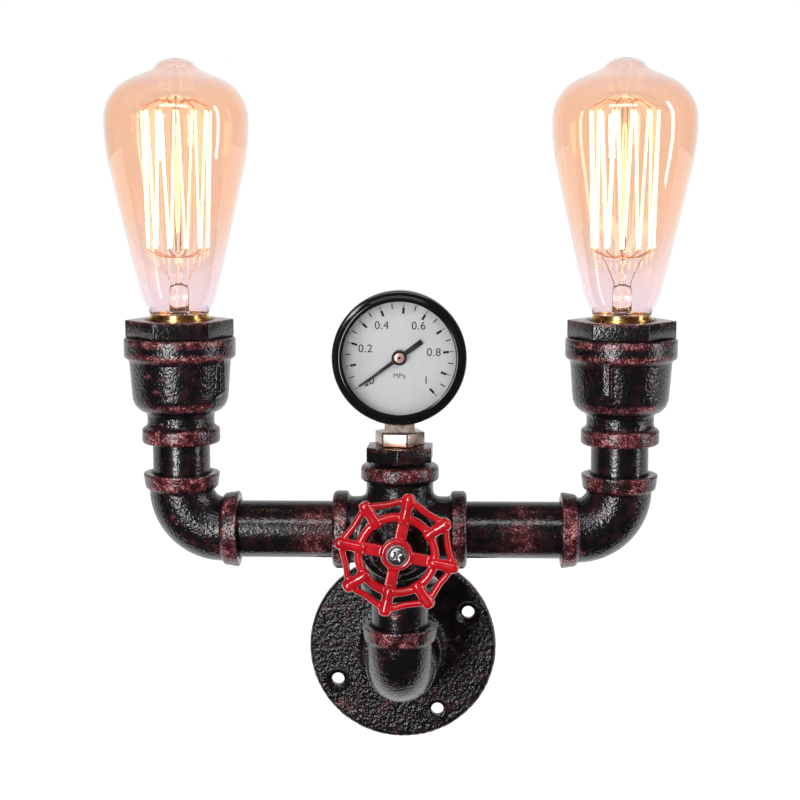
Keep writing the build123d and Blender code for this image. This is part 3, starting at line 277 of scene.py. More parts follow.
flange = turned("flange_casting", FLANGE_RINGS)
cast(flange, skin=0.65, softness=3)
sand_grain = bpy.data.textures.new("cast_grain", "CLOUDS")
sand_grain.noise_scale = 1.7 * MM
modified(flange, "DISPLACE", texture=sand_grain, texture_coords="LOCAL", strength=0.5 * MM)
for number in range(SCREW_HOLES):
    angle = math.radians(FIRST_SCREW + 360 / SCREW_HOLES * number)
    drill = turned("drill", DRILL_RINGS, 48)
    cut(flange, put(drill, (SCREW_CIRCLE * math.cos(angle), SCREW_CIRCLE * math.sin(angle), 0)))
put(flange, turn=FACE_TO_ROOM)
flange_iron = rubbed_paint("flange_iron", 0.75, 0.6, spread=0.65, lump=1.6)
fitted(flange, "frame", "iron", flange_iron, "wall_flange")


# Pipes: two arm pipes and four short nipples, cut from three-quarter inch steel pipe and screwed into the
# fittings. They are painted smooth, and the arms are brushed with red near their ends.

def worn(finish, *nodes):
    """Gives a finish to CAD nodes that keep their own shape."""
    for name in nodes:
        cad[name].data.materials.clear()
        cad[name].data.materials.append(finish)


BRUSHED_ARMS = [(X, -45, -31, 6), (X, 50, 59, 8)]  # from, to and how soft, in millimetres
arm_paint = rubbed_paint("arm_paint", 0.16, 0.55, BRUSHED_ARMS, spread=0.67, gloss=0.16)
worn(arm_paint, "arm_pipe_left", "arm_pipe_right")
nipple_paint = rubbed_paint("nipple_paint", 0.16, 0.6, spread=0.64, gloss=0.17)
worn(nipple_paint, "wall_nipple", "riser_nipple", "cup_nipple_left", "cup_nipple_right")


# Elbows: three alike iron castings, one before the wall and one at the end of each arm. Each is a bend
# between two raised collars, whose mouths are bored and bevelled for the pipes' thread.

PIPE_PLANE = -63  # the pipes' middle, in front of the wall
ARM_HEIGHT = 71  # above the flange's middle
ARM_REACH = 99.6  # from the flange's middle to each riser
BEND_RADIUS = 19
BEND_BARREL = 14.75
ELBOW_REACH = 26.4  # from the corner to each mouth
MOUTH_RADIUS = 13.25
MOUTH_BEVEL = 14.6
MOUTH_DEPTH = 9
FACE_RIGHT = (0, 90, 0)


def copied(piece, name):
    """A second piece with a mesh of its own."""
    pick(piece)
    bpy.ops.object.duplicate()
    bpy.context.object.name = name
    return bpy.context.object


def joined(*pieces):
    """Makes one piece of several, under the first one's name."""
    pick(*pieces)
    bpy.ops.object.join()
    return pieces[0]


def mouth_cutter(reach):
    """What the thread's mouth takes out of a fitting, at this reach from its corner."""
    foot = reach - MOUTH_DEPTH
    return turned("cutter", [
        (AXIS, foot), (MOUTH_RADIUS, foot), (MOUTH_RADIUS, reach - 1.1), (MOUTH_BEVEL, reach + 0.2),
        (MOUTH_BEVEL, reach + 2), (AXIS, reach + 2)], 64)


def collar(radius, foot, top, lip, taper=0.0):
    """A band round a mouth, narrower at its foot by the taper, its outer corner taken off by the lip."""
    base = radius - taper
    return turned("collar", [
        (AXIS, foot), (base - 1, foot), (base, foot + 0.9), (radius, top - lip),
        (radius - 0.35 * lip, top - 0.35 * lip), (radius - lip, top), (AXIS, top)], 64)


bpy.ops.object.select_all(action="DESELECT")
bpy.ops.mesh.primitive_circle_add(vertices=64, radius=BEND_BARREL * MM, fill_type="NGON",
                                  location=(0, 0, 0))
elbow = bpy.context.object
elbow.name = "elbow_casting"
bpy.ops.object.mode_set(mode="EDIT")
bpy.ops.mesh.select_all(action="SELECT")
bpy.ops.transform.translate(value=(0, 0, (BEND_RADIUS + 0.5) * MM))
bpy.ops.mesh.extrude_region_move(TRANSFORM_OT_translate={"value": (0, 0, -0.5 * MM)})
bpy.ops.mesh.spin(steps=20, angle=math.pi / 2, center=(BEND_RADIUS * MM, 0, BEND_RADIUS * MM),
                  axis=(0, 1, 0))
bpy.ops.mesh.extrude_region_move(TRANSFORM_OT_translate={"value": (0.5 * MM, 0, 0)})
close_up()
upper_collar = collar(17.4, BEND_RADIUS, ELBOW_REACH, lip=0.5, taper=0.9)
level_collar = put(copied(upper_collar, "level_collar"), turn=FACE_RIGHT)
elbow = joined(elbow, upper_collar, level_collar)
cast(elbow, skin=0.5, softness=3)
cut(elbow, mouth_cutter(ELBOW_REACH), put(mouth_cutter(ELBOW_REACH), turn=FACE_RIGHT))

elbow_iron = rubbed_paint("elbow_iron", 0.4, 0.9, [
    (Z, ARM_HEIGHT + BEND_RADIUS, ARM_HEIGHT + ELBOW_REACH), (Z, BEND_RADIUS, ELBOW_REACH),
    (X, BEND_RADIUS - ARM_REACH, ELBOW_REACH - ARM_REACH),
    (X, ARM_REACH - ELBOW_REACH, ARM_REACH - BEND_RADIUS)], spread=0.66, gloss=0.17)
base = put(copied(elbow, "base_elbow_casting"), (0, PIPE_PLANE, 0), (0, 0, 90))
fitted(base, "frame", "iron", elbow_iron, "base_elbow")
right = put(copied(elbow, "arm_elbow_casting_right"), (ARM_REACH, PIPE_PLANE, ARM_HEIGHT), (0, 0, 180))
fitted(right, "frame", "iron", elbow_iron, "arm_elbow_right")
put(elbow, (-ARM_REACH, PIPE_PLANE, ARM_HEIGHT))
elbow.name = "arm_elbow_casting_left"
fitted(elbow, "frame", "iron", elbow_iron, "arm_elbow_left")


# Cross: one iron casting with five mouths, up, down, left, right and to the front. Its necks run into each
# other in wide soft crotches, and each ends in a collar.

CROSS_REACH = 30.5
NECK_RINGS = [(AXIS, 0), (15.3, 0), (15.3, 24), (AXIS, 24)]
WAYS = ((0, 0, 0), (180, 0, 0), (0, 90, 0), (0, -90, 0), (90, 0, 0))


def choose(piece, test):
    """Enters edit mode with just those points of a piece selected that pass a test, in millimetres."""
    pick(piece)
    bpy.ops.object.mode_set(mode="EDIT")
    bpy.ops.mesh.select_all(action="DESELECT")
    bpy.ops.object.mode_set(mode="OBJECT")
    for vertex in piece.data.vertices:
        vertex.select = test(vertex.co / MM)
    bpy.ops.object.mode_set(mode="EDIT")


def in_crotch(point):
    """Whether a point of the cross lies where two necks meet, clear of the collars."""
    second, furthest = sorted(abs(value) for value in point)[1:]
    return furthest < 22.5 and second > 12.5 and furthest - second < 6.5


necks = [put(turned("neck", NECK_RINGS, 64), turn=way) for way in WAYS]
collars = [put(collar(17.8, 23.1, CROSS_REACH, lip=1.7), turn=way) for way in WAYS]
cross = joined(*necks, *collars)
cross.name = "cross_casting"
cast(cross, skin=0.6, softness=3)
choose(cross, in_crotch)
bpy.ops.mesh.vertices_smooth(factor=0.5, repeat=60)
bpy.ops.object.mode_set(mode="OBJECT")
cut(cross, *[put(mouth_cutter(CROSS_REACH), turn=way) for way in WAYS])
put(cross, (0, PIPE_PLANE, ARM_HEIGHT))
cross_iron = rubbed_paint("cross_iron", 0.35, 0.7, [
    (Z, ARM_HEIGHT + 25, ARM_HEIGHT + CROSS_REACH), (X, -CROSS_REACH, -24), (X, 24, CROSS_REACH)],
    spread=0.68, gloss=0.17)
fitted(cross, "frame", "iron", cross_iron, "valve_cross")


# Lamp cups: bell reducers, cast in iron and screwed on the upper nipples. Each has a band round both its
# mouths and two ribs down its sides, which a wrench holds.

CUP_FOOT = 111  # above the flange's middle
CUP_BAND = 47.4
CUP_RINGS = [
    (AXIS, 0), (16.9, 0), (17.7, 0.8), (17.7, 6.3), (16.8, 7.3), (15.4, 7.6), (15.2, 9), (15.2, 13.2),
    (16.0, 14.1), (18.6, 15.4), (20.6, 17.6), (21.6, 20.4), (21.9, 23.5), (22.9, 37.4), (23.3, 38.4),
    (24.4, 38.8), (25.2, 39.7), (25.2, CUP_BAND), (24.5, 48.3), (AXIS, 48.3)]
CUP_BORE = [(AXIS, -1), (13.9, -1), (13.2, 1), (13.2, 10), (AXIS, 10)]
CUP_MOUTH = [(AXIS, 37), (21.1, 37), (21.1, CUP_BAND), (22.2, 49), (AXIS, 49)]
RIB_SIZE = (3.8, 8, 28)
RIB_TURN = {"left": 57, "right": -21}
RUBBED_CUP = [(Z, 149.4, 152.6), (Z, 156, 159.5), (Z, CUP_FOOT, 118.3), (Z, 127, 130)]  # its edges
RISERS = {"left": -ARM_REACH, "right": ARM_REACH}


def block(name, size, middle=(0, 0, 0)):
    """A square-edged bar of this size about a point, in millimetres."""
    bpy.ops.object.select_all(action="DESELECT")
    bpy.ops.mesh.primitive_cube_add(size=1, location=(0, 0, 0), scale=[length * MM for length in size])
    piece = bpy.context.object
    piece.name = name
    bpy.ops.object.transform_apply(location=False, rotation=False, scale=True)
    bpy.ops.object.mode_set(mode="EDIT")
    bpy.ops.mesh.select_all(action="SELECT")
    bpy.ops.transform.translate(value=[value * MM for value in middle])
    bpy.ops.object.mode_set(mode="OBJECT")
    return piece


def cup_rib(turn):
    """A rib at the cup's side, cut slanting at its foot, this many degrees round from the front."""
    rib = block("rib", RIB_SIZE, (0, -20.7, 33.6))
    bpy.ops.object.mode_set(mode="EDIT")
    bpy.ops.mesh.select_all(action="SELECT")
    bpy.ops.mesh.bisect(plane_co=(0, -24.6 * MM, 24 * MM), plane_no=(0, -0.5, -0.7), clear_outer=True,
                        use_fill=True)
    bpy.ops.object.mode_set(mode="OBJECT")
    return put(rib, turn=(0, 0, turn))


cup_iron = rubbed_paint("cup_iron", 0.34, 0.8, RUBBED_CUP, spread=0.67, gloss=0.17)
for side, middle in RISERS.items():
    cup = turned("lamp_cup_casting_" + side, CUP_RINGS)
    cup = joined(cup, cup_rib(RIB_TURN[side]), cup_rib(RIB_TURN[side] + 180))
    cast(cup, skin=0.6, softness=3)
    cut(cup, turned("bore", CUP_BORE, 64), turned("mouth", CUP_MOUTH, 64))
    put(cup, (middle, PIPE_PLANE, CUP_FOOT))
    fitted(cup, "frame", "iron", cup_iron, "lamp_cup_" + side)


# Hexagonal collars: turned from steel bar and screwed into the cups' mouths over the lampholders. They are
# black, with their corners and top faces rubbed.

HEX_FLATS = 42.4
HEX_FOOT, HEX_TOP = 48.35, 56.1  # above the cup's foot
HEX_TURN = {"left": 9.3, "right": -6.6}
HEX_BORE = [(AXIS, 40), (14.9, 40), (14.9, 54.9), (16.9, 56.6), (AXIS, 56.6)]
HEX_THREAD = [(17.9, 37.5), (20.9, 37.5), (20.9, 48.6), (17.9, 48.6), (17.9, 37.5)]


def hexagon(name, across_flats, foot, top, bevel):
    """A bar's end with six flats, one to the front, and its edges bevelled, in millimetres."""
    bpy.ops.object.select_all(action="DESELECT")
    corner = across_flats / 2 / math.cos(math.radians(30))
    bpy.ops.mesh.primitive_cylinder_add(vertices=6, radius=corner * MM, depth=(top - foot) * MM,
                                        location=(0, 0, 0))
    piece = bpy.context.object
    piece.name = name
    put(piece, (0, 0, (top + foot) / 2), (0, 0, 30))
    return modified(piece, "BEVEL", width=bevel * MM, segments=3, limit_method="ANGLE")


collar_paint = rubbed_paint("collar_paint", 0.2, 0.8, [(Z, 166.0, 168.0)], spread=0.64, gloss=0.16,
                            tops=0.8)
for side, middle in RISERS.items():
    nut = hexagon("hex_collar_" + side + "_bar", HEX_FLATS, HEX_FOOT, HEX_TOP, bevel=0.5)
    cut(nut, turned("rim", HEX_BORE))
    nut = joined(nut, turned("thread", HEX_THREAD, 64))
    put(nut, (middle, PIPE_PLANE, CUP_FOOT), (0, 0, HEX_TURN[side]))
    fitted(nut, "frame", "collar", collar_paint, "hex_collar_" + side)


# Lampholders: porcelain bodies in the cups, each with a brass screw shell, whose lip shows round the lamp,
# and a sprung brass contact. Two sheathed leads feed them through the pipes.

def mottled(name, colour, roughness, metallic=0.0, size=3.0, depth=0.2, **more):
    """A plain material that is a little uneven in colour and shine."""
    finish = new_finish(name)
    dark = [value * (1 - depth) for value in colour] + [1]
    shade = tinted(finish, eased(finish, noise(finish, size), 0.35, 0.65), dark, list(colour) + [1])
    shine = eased(finish, noise(finish, size / 3, 4.0), 0.3, 0.7, roughness * 0.85, roughness * 1.2)
    return coated(finish, BaseColor=shade, Roughness=shine, Metallic=metallic, **more)


porcelain = mottled("porcelain", (0.85, 0.82, 0.76), 0.2)
brass = mottled("brass", (0.82, 0.48, 0.16), 0.28, metallic=1.0)
sheath = mottled("sheath", (0.03, 0.03, 0.032), 0.5)
for side in RISERS:
    worn(porcelain, "lampholder_" + side)
    worn(brass, "screw_shell_" + side, "centre_contact_" + side)
    worn(sheath, "lead_" + side)


# Lamps: blown pear-shaped glass with a drawn tip, faintly amber, over a rolled screw cap; where the filament
# hangs the amber is partly painted glow of the filament.
# Inside, a glass stem holds the squirrel-cage filament on fine wire hooks.

def arc(centre, radius, start, stop, steps):
    """Points of a profile along an arc, its angles in degrees."""
    angles = [math.radians(start + (stop - start) * step / steps) for step in range(steps + 1)]
    return [(centre[0] + radius * math.cos(a), centre[1] + radius * math.sin(a)) for a in angles]


LAMP_SEAT = 169.6  # above the flange's middle
GLASS_WALL = 0.7
GLASS_RINGS = [
    (12.3, -6), (12.5, -2), (13.1, 0.4),
    *arc((-20.3, 20.2), 39, -30, -12, 4), *arc((-67.9, 86.3), 100, -11.2, 0, 6),
    *arc((12.1, 86.3), 20, 8, 66, 8),
    (16.3, 106.2), (12.4, 107.9), (10.2, 108.9), (9.2, 109.9), (7.9, 111.4), (5.8, 112.6), (3.2, 113.3),
    (AXIS, 113.5)]
STEM_RINGS = [
    (AXIS, -5), (11, -5), (11, -4), (6, -2.5), (4.6, 0), (4.4, 7), (4.3, 11), (3.9, 12.8), (1.6, 13.6),
    (1.3, 15.5), (1.3, 24.6), (2.3, 25.4), (2.3, 26.4), (1.3, 27.2), (1.3, 93), (2.3, 94), (2.4, 95.6),
    (1.6, 97), (AXIS, 97.6)]
THREAD_TURNS = 5
THREAD_PITCH = 3.63
CAP_RINGS = [(12.4, -22.8), (12.6, -23.3), (13.2, -22.4)]
for turn in range(THREAD_TURNS):
    start = -21.5 + THREAD_PITCH * turn
    CAP_RINGS += [(12.9, start + 0.2), (12.3, start + 0.9), (12.3, start + 1.5), (12.9, start + 2.4),
                  (13.2, start + 3.0)]
CAP_RINGS += [(13.15, -1.2), (13.25, -0.3), (13.3, 0.1), (12.9, 0.15), (12.7, -0.4), (12.4, -22.8)]
HAIRPINS = 12
FIRST_HAIRPIN = 8  # degrees from the right
HAIRPIN_WIRE, HOOK_WIRE, LEAD_WIRE = 0.8, 0.45, 0.5  # thickness

CLEAR_FOOT = (0.92, 0.82, 0.85, 1)
AMBER_TINT_AND_GLOW = (0.975, 0.74, 0.605, 1)
PALE_CROWN = (0.92, 0.785, 0.76, 1)


def lamp_glass():
    """Glass that goes from nearly clear at its foot to amber, and paler over its crown; its amber is partly
    its own tint and partly painted glow of the filament.
    """
    finish = new_finish("lamp_glass")
    height = along(finish, Z)
    # the amber band where the filament hangs is partly the glass's own tint and partly painted glow of the
    # lit filament
    body = tinted(finish, eased(finish, height, 0.172, 0.224), CLEAR_FOOT, AMBER_TINT_AND_GLOW)
    whole = tinted(finish, eased(finish, height, 0.262, 0.284), body, PALE_CROWN)
    return coated(finish, BaseColor=whole, Roughness=0.0, TransmissionWeight=1.0, IOR=1.45)


def glowing(name, colour, strength):
    """Hot wire, a little uneven in its glow."""
    finish = new_finish(name)
    heat = eased(finish, noise(finish, 6, 2.0), 0.35, 0.65, strength * 0.75, strength)
    return coated(finish, BaseColor=(1, 0.8, 0.5, 1), EmissionColor=colour, EmissionStrength=heat)


def wire(name, points, thickness, sides=6):
    """A wire through these points, in millimetres."""
    bpy.ops.object.select_all(action="DESELECT")
    first, second = Vector(points[0]), Vector(points[1])
    turn = (second - first).to_track_quat("Z", "Y").to_euler()
    bpy.ops.mesh.primitive_circle_add(vertices=sides, radius=thickness / 2 * MM, fill_type="NGON",
                                      location=first * MM, rotation=turn)
    piece = bpy.context.object
    piece.name = name
    bpy.ops.object.transform_apply(location=True, rotation=True, scale=True)
    bpy.ops.object.mode_set(mode="EDIT")
    bpy.ops.mesh.select_all(action="SELECT")
    for start, end in zip(points, points[1:]):
        bpy.ops.mesh.extrude_region_move(
            TRANSFORM_OT_translate={"value": (Vector(end) - Vector(start)) * MM})
    close_up()
    return piece


def at(radius, angle, height):
    """A point by its radius, its angle anticlockwise from the right, seen from above, and its height."""
    turn = math.radians(angle)
    return (radius * math.cos(turn), radius * math.sin(turn), height)


def hairpin(angle):
    """One strand of the filament, up over its hook and down again."""
    return wire("strand", [at(13.8, angle - 13, 30), at(15.4, angle - 3, 90.4),
                           at(15.4, angle + 3, 90.4), at(13.8, angle + 13, 30)], HAIRPIN_WIRE)


def hooks_at(angle):
    """The upper hook of a hairpin, and the lower one beside it."""
    upper = wire("hook", [at(2.2, angle, 94), at(8, angle, 95.5), at(14.8, angle, 92.2),
                          at(16.4, angle, 90.4), at(15.7, angle, 89.6)], HOOK_WIRE)
    between = angle + 180 / HAIRPINS
    lower = wire("hook", [at(2.2, between, 25.5), at(8, between, 26.1), at(13.6, between, 28.8),
                          at(14.4, between, 30.8)], HOOK_WIRE)
    return [upper, lower]


def lead_in(way):
    """A wire up out of the stem's press to the filament, on the left (-1) or the right (1)."""
    return wire("lead_in", [(way * 3.6, 0, 2), (way * 3.7, 0, 14), (way * 5.6, way, 19),
                            (way * 10.4, way * 2, 28.6)], LEAD_WIRE)


glass = lamp_glass()
stem_glass = coated(new_finish("stem_glass"), BaseColor=(1.0, 0.93, 0.86, 1), Roughness=0.0,
                    TransmissionWeight=1.0, IOR=1.5)
hot_wire = glowing("hot_wire", (1.0, 0.78, 0.36, 1), 7.0)
hook_wire = mottled("hook_wire", (0.62, 0.36, 0.26), 0.35, metallic=1.0)
cap_brass = mottled("cap_brass", (0.88, 0.58, 0.22), 0.22, metallic=1.0)
vitrite = mottled("vitrite", (0.02, 0.02, 0.024), 0.12)
for side, middle in RISERS.items():
    lamp_place = (middle, PIPE_PLANE, LAMP_SEAT)
    hairpin_angles = [FIRST_HAIRPIN + 360 / HAIRPINS * number for number in range(HAIRPINS)]

    envelope = turned("lamp_glass_" + side, GLASS_RINGS)
    modified(envelope, "SOLIDIFY", thickness=GLASS_WALL * MM, offset=-1)
    put(envelope, lamp_place)
    fitted(envelope, "lamp_" + side, "amber_glass", glass, "bulb_glass_" + side, smooth=60)

    filament = joined(*[hairpin(angle) for angle in hairpin_angles])
    filament.name = "filament_cage_" + side
    put(filament, lamp_place)
    fitted(filament, "lamp_" + side, "filament", hot_wire, "filament_" + side)

    hooks = [hook for angle in hairpin_angles for hook in hooks_at(angle)]
    supports = joined(*hooks, lead_in(-1), lead_in(1))
    supports.name = "support_hooks_" + side
    put(supports, lamp_place)
    fitted(supports, "lamp_" + side, "wire", hook_wire, "support_wires_" + side)

    stem = put(turned("glass_stem_" + side, STEM_RINGS, 32), lamp_place)
    fitted(stem, "lamp_" + side, "clear_glass", stem_glass, "bulb_stem_" + side, smooth=60)

    cap = put(turned("screw_cap_" + side, CAP_RINGS), lamp_place)
    fitted(cap, "lamp_" + side, "lamp_cap", cap_brass, "bulb_cap_" + side, smooth=50)
    worn(vitrite, "cap_insulator_" + side)
    worn(brass, "foot_contact_" + side)


# Valve behind the handwheel: bonnet and gland nut, turned from bar and painted black like the collars, and
# a bare steel spindle that the handwheel turns.

worn(collar_paint, "valve_bonnet", "gland_nut")
worn(mottled("spindle_steel", (0.10, 0.09, 0.09), 0.35, metallic=1.0), "valve_spindle")


# Handwheel: a zinc die casting in glossy red enamel, with a round inner ring, an eight-sided rim and eight
# fat fingers between them, on four flat spokes. A cross-recessed screw holds it to the spindle.

WHEEL_PLANE = -111.5  # the wheel's foot, in front of the wall
WHEEL_PLACE = (0, WHEEL_PLANE, ARM_HEIGHT)
FINGERS = 8
FINGER_STEP = 360 / FINGERS
FIRST_FINGER = 12  # degrees clockwise from the top
RIM_CORNER, RIM_BEND = 24.7, 22.1  # from the wheel's axis
RIM_THICKNESS = 2.9
FINGER_RINGS = [
    (AXIS, 13.9), (1.6, 14.1), (2.4, 15.1), (2.6, 16.8), (2.5, 20), (2.75, 23.4), (2.9, 25), (2.5, 26.4),
    (1.4, 27.1), (AXIS, 27.3)]
SPOKE_SIZE = (5.0, 12, 3.2)
HUB_RINGS = [
    (AXIS, 0.4), (6.4, 0.4), (7, 1), (7, 5.8), (6.6, 6.8), (5.9, 7), (5.0, 6.8), (4.6, 6.3), (AXIS, 6.3)]
SPINDLE_BORE = [(AXIS, -1), (3.05, -1), (3.05, 7.5), (AXIS, 7.5)]
HEAD_SEAT = [(AXIS, 6.2), (4.62, 6.2), (4.62, 8), (AXIS, 8)]
SCREW_RINGS = [
    (AXIS, -2), (1.9, -2), (1.9, 7.0), (4.0, 7.02), (4.0, 7.7), (3.7, 8.4), (2.9, 8.95), (1.6, 9.2),
    (AXIS, 9.25)]
RECESS_SIZE = (4.8, 1.0, 3.2)
RECESS_TURN = 25


def bar(start, end, thickness):
    """A round bar between two points, in millimetres."""
    bpy.ops.object.select_all(action="DESELECT")
    first, second = Vector(start) * MM, Vector(end) * MM
    turn = (second - first).to_track_quat("Z", "Y").to_euler()
    bpy.ops.mesh.primitive_cylinder_add(vertices=24, radius=thickness / 2 * MM,
                                        depth=(second - first).length, location=(first + second) / 2,
                                        rotation=turn)
    bpy.ops.object.transform_apply(location=True, rotation=True, scale=True)
    return bpy.context.object


def finger_angle(number):
    """How far a finger of the wheel lies clockwise from the top, in degrees."""
    return FIRST_FINGER + FINGER_STEP * number


def rim_point(radius, number):
    """A point of the wheel's rim, by the finger that it lies at, in millimetres."""
    turn = math.radians(finger_angle(number))
    return (radius * math.sin(turn), radius * math.cos(turn), 5.6)


parts = []
for number in range(FINGERS):
    corner, next_corner = rim_point(RIM_CORNER, number), rim_point(RIM_CORNER, number + 1)
    bend = rim_point(RIM_BEND, number + 0.5)
    parts += [bar(corner, bend, RIM_THICKNESS), bar(bend, next_corner, RIM_THICKNESS)]
    finger = turned("finger", FINGER_RINGS, 24)
    parts.append(put(finger, (0, 0, 5.9), (-90, 0, -finger_angle(number))))
for number in range(0, FINGERS, 2):
    spoke = block("spoke", SPOKE_SIZE, (0, 10.2, 4.2))
    parts.append(put(spoke, turn=(0, 0, -finger_angle(number))))
bpy.ops.object.select_all(action="DESELECT")
bpy.ops.mesh.primitive_torus_add(major_radius=16.4 * MM, minor_radius=1.95 * MM, major_segments=96,
                                 minor_segments=20, location=(0, 0, 5.4 * MM))
parts.append(bpy.context.object)
parts.append(turned("hub", HUB_RINGS, 64))
wheel = joined(*parts)
wheel.name = "handwheel_casting"
cast(wheel, skin=0.35, softness=5)
cut(wheel, turned("bore", SPINDLE_BORE, 48), turned("seat", HEAD_SEAT, 48))
put(wheel, WHEEL_PLACE, FACE_TO_ROOM)
enamel = mottled("red_enamel", (0.47, 0.004, 0.010), 0.2, size=9, depth=0.3, CoatWeight=0.6,
                 CoatRoughness=0.03)
fitted(wheel, "handwheel_body", "red_enamel", enamel, "handwheel", smooth=80)

zinc = mottled("zinc", (0.42, 0.42, 0.41), 0.3, metallic=1.0, size=1.5)
worn(zinc, "wheel_washer")
head = turned("wheel_screw_head", SCREW_RINGS, 64)
for turn in (RECESS_TURN, RECESS_TURN + 90):
    cut(head, put(block("recess", RECESS_SIZE), (0, 0, 9.3), (0, 0, turn)))
modified(head, "BEVEL", width=0.12 * MM, segments=2, limit_method="ANGLE")
put(head, WHEEL_PLACE, FACE_TO_ROOM)
fitted(head, "handwheel_body", "zinc", zinc, "wheel_screw")


# Bushing and adapter: the black steel reducing bushing shows a few threads above the cross. The adapter in
# it is turned from brass and nickel plated, worn to copper at its foot, and takes the gauge's stem.

BUSHING_FLATS, BUSHING_HEX = 29.3, 6.6  # across its flats, and the hexagon's height
BUSHING_FOOT = 103.3  # above the flange's middle
BUSHING_PITCH = 1.75
BUSHING_SEAT = [(AXIS, 5.4), (9.9, 5.4), (11.2, 6.7), (11.2, 8), (AXIS, 8)]
BUSHING_THREAD = [(8.3, -12.6), (12.9, -12.6)]
for turn in range(7):
    BUSHING_THREAD += [(13.0, -12.2 + BUSHING_PITCH * turn), (12.1, -11.3 + BUSHING_PITCH * turn)]
BUSHING_THREAD += [(12.3, 0.5), (8.3, 0.5), (8.3, -12.6)]
ADAPTER_FLATS, ADAPTER_HEX = 20.2, 6.7
ADAPTER_FOOT = 109.9
ADAPTER_THREAD = [(4.95, -8), (7.9, -8), (7.9, 0.5), (4.95, 0.5), (4.95, -8)]
NICKEL = (0.44, 0.35, 0.30, 1)
COPPER = (0.55, 0.24, 0.15, 1)

bushing = put(hexagon("bushing_bar", BUSHING_FLATS, 0, BUSHING_HEX, bevel=0.5), turn=(0, 0, 28))
cut(bushing, turned("seat", BUSHING_SEAT, 64))
bushing = joined(bushing, turned("thread", BUSHING_THREAD, 64))
put(bushing, (0, PIPE_PLANE, BUSHING_FOOT))
bushing_paint = rubbed_paint("bushing_paint", 0.3, 0.25, [(Z, 108.6, 110.2)], spread=0.66, tops=0.6)
fitted(bushing, "frame", "collar", bushing_paint, "gauge_bushing", smooth=30)

nickel = new_finish("warm_nickel")
worn_foot = eased(nickel, along(nickel, Z), 0.1106, 0.1122, 1.0, 0.0)
scuffs = eased(nickel, noise(nickel, 1.5), 0.3, 0.7, 0.26, 0.36)
coated(nickel, BaseColor=tinted(nickel, worn_foot, NICKEL, COPPER), Metallic=1.0, Roughness=scuffs)
adapter = put(hexagon("adapter_bar", ADAPTER_FLATS, 0.2, ADAPTER_HEX, bevel=0.7), turn=(0, 0, -12))
adapter = joined(adapter, turned("thread", ADAPTER_THREAD, 64))
put(adapter, (0, PIPE_PLANE, ADAPTER_FOOT))
fitted(adapter, "frame", "nickel", nickel, "gauge_adapter", smooth=30)
worn(nickel, "gauge_stem")


# Pressure gauge: a pressed steel case with a stepped bezel snapped over it, both in gloss black, and a
# glass window. The movement inside, with its curved tube and toothed sector, is brass.

GAUGE_PLACE = (0, PIPE_PLANE, 151.2)
BEZEL_RINGS = [
    (28.7, 8), (29.8, 8), (30, 8.3), (30, 15.2), (29.6, 16.0), (28.9, 16.3), (27.9, 16.35), (27.45, 16.6),
    (27.3, 17.0), (26.9, 17.2), (25.9, 17.2), (25.4, 17), (25.2, 16.6), (25.2, 16.05), (28.7, 16.05),
    (28.7, 8)]

gloss_black = mottled("gauge_black", (0.006, 0.006, 0.0065), 0.1, size=20, SpecularIORLevel=0.3)
worn(gloss_black, "gauge_case")
bezel = put(turned("stepped_bezel", BEZEL_RINGS, 128), GAUGE_PLACE, FACE_TO_ROOM)
fitted(bezel, "frame", "black_gloss", gloss_black, "gauge_bezel", smooth=40)
window = coated(new_finish("window_glass"), BaseColor=(1, 1, 1, 1), Roughness=0.0, TransmissionWeight=1.0,
                IOR=1.25)
worn(window, "gauge_window")
worn(brass, "movement_frame", "bourdon_tube", "hairspring", "pinion_shaft", "sector_gear", "movement_link")


# Dial: a brushed silver-grey aluminium disc, printed in black with plain numbers from 0 to 1, a mark for
# each tenth and each half of one, and its unit. It is screwed flat on the movement's front plate.

DIAL_START, DIAL_SWEEP = 234, 262  # degrees clockwise from the top
DIAL_FACE = 10.13  # in front of the pipes' middle
INK_DEPTH = 0.06
LETTER_SIZE = 1.38  # a letter's size to its height
NUMBERS = (("0", 16.3, 229.5), ("0.2", 15.6, 284), ("0.4", 16.2, 331), ("0.6", 16.4, 31.5),
           ("0.8", 15.5, 82), ("1", 15.8, 131))  # each with its radius and angle
# SHADED_GREY is painted shade, standing for the bezel's shadow on the dial's left side
SHADED_GREY = (0.28, 0.28, 0.287, 1)
DIAL_GREY = (0.46, 0.46, 0.465, 1)
BRUSHED_GREY = (0.54, 0.54, 0.54, 1)

dial_grey = new_finish("dial_grey")
# darker towards the dial's left edge: painted shade, standing for the bezel's shadow
painted_bezel_shade = eased(dial_grey, along(dial_grey, X), -0.027, -0.008)
brushed = eased(dial_grey, noise(dial_grey, 1.6, 4.0, 0.6, (1, 1, 0.15)), 0.3, 0.7, 0.0, 0.25)
dial_tone = tinted(dial_grey, painted_bezel_shade, SHADED_GREY, DIAL_GREY)
coated(dial_grey, BaseColor=tinted(dial_grey, brushed, dial_tone, BRUSHED_GREY), Roughness=0.5)
worn(dial_grey, "gauge_dial")


def clock(radius, angle):
    """A point of the dial by its angle clockwise from the top."""
    turn = math.radians(angle)
    return (radius * math.sin(turn), radius * math.cos(turn))


def tick(inner, outer, width, angle):
    """A printed mark along a radius, in millimetres."""
    mark = block("tick", (width, outer - inner, INK_DEPTH))
    return put(mark, (*clock((inner + outer) / 2, angle), DIAL_FACE), (0, 0, -angle))


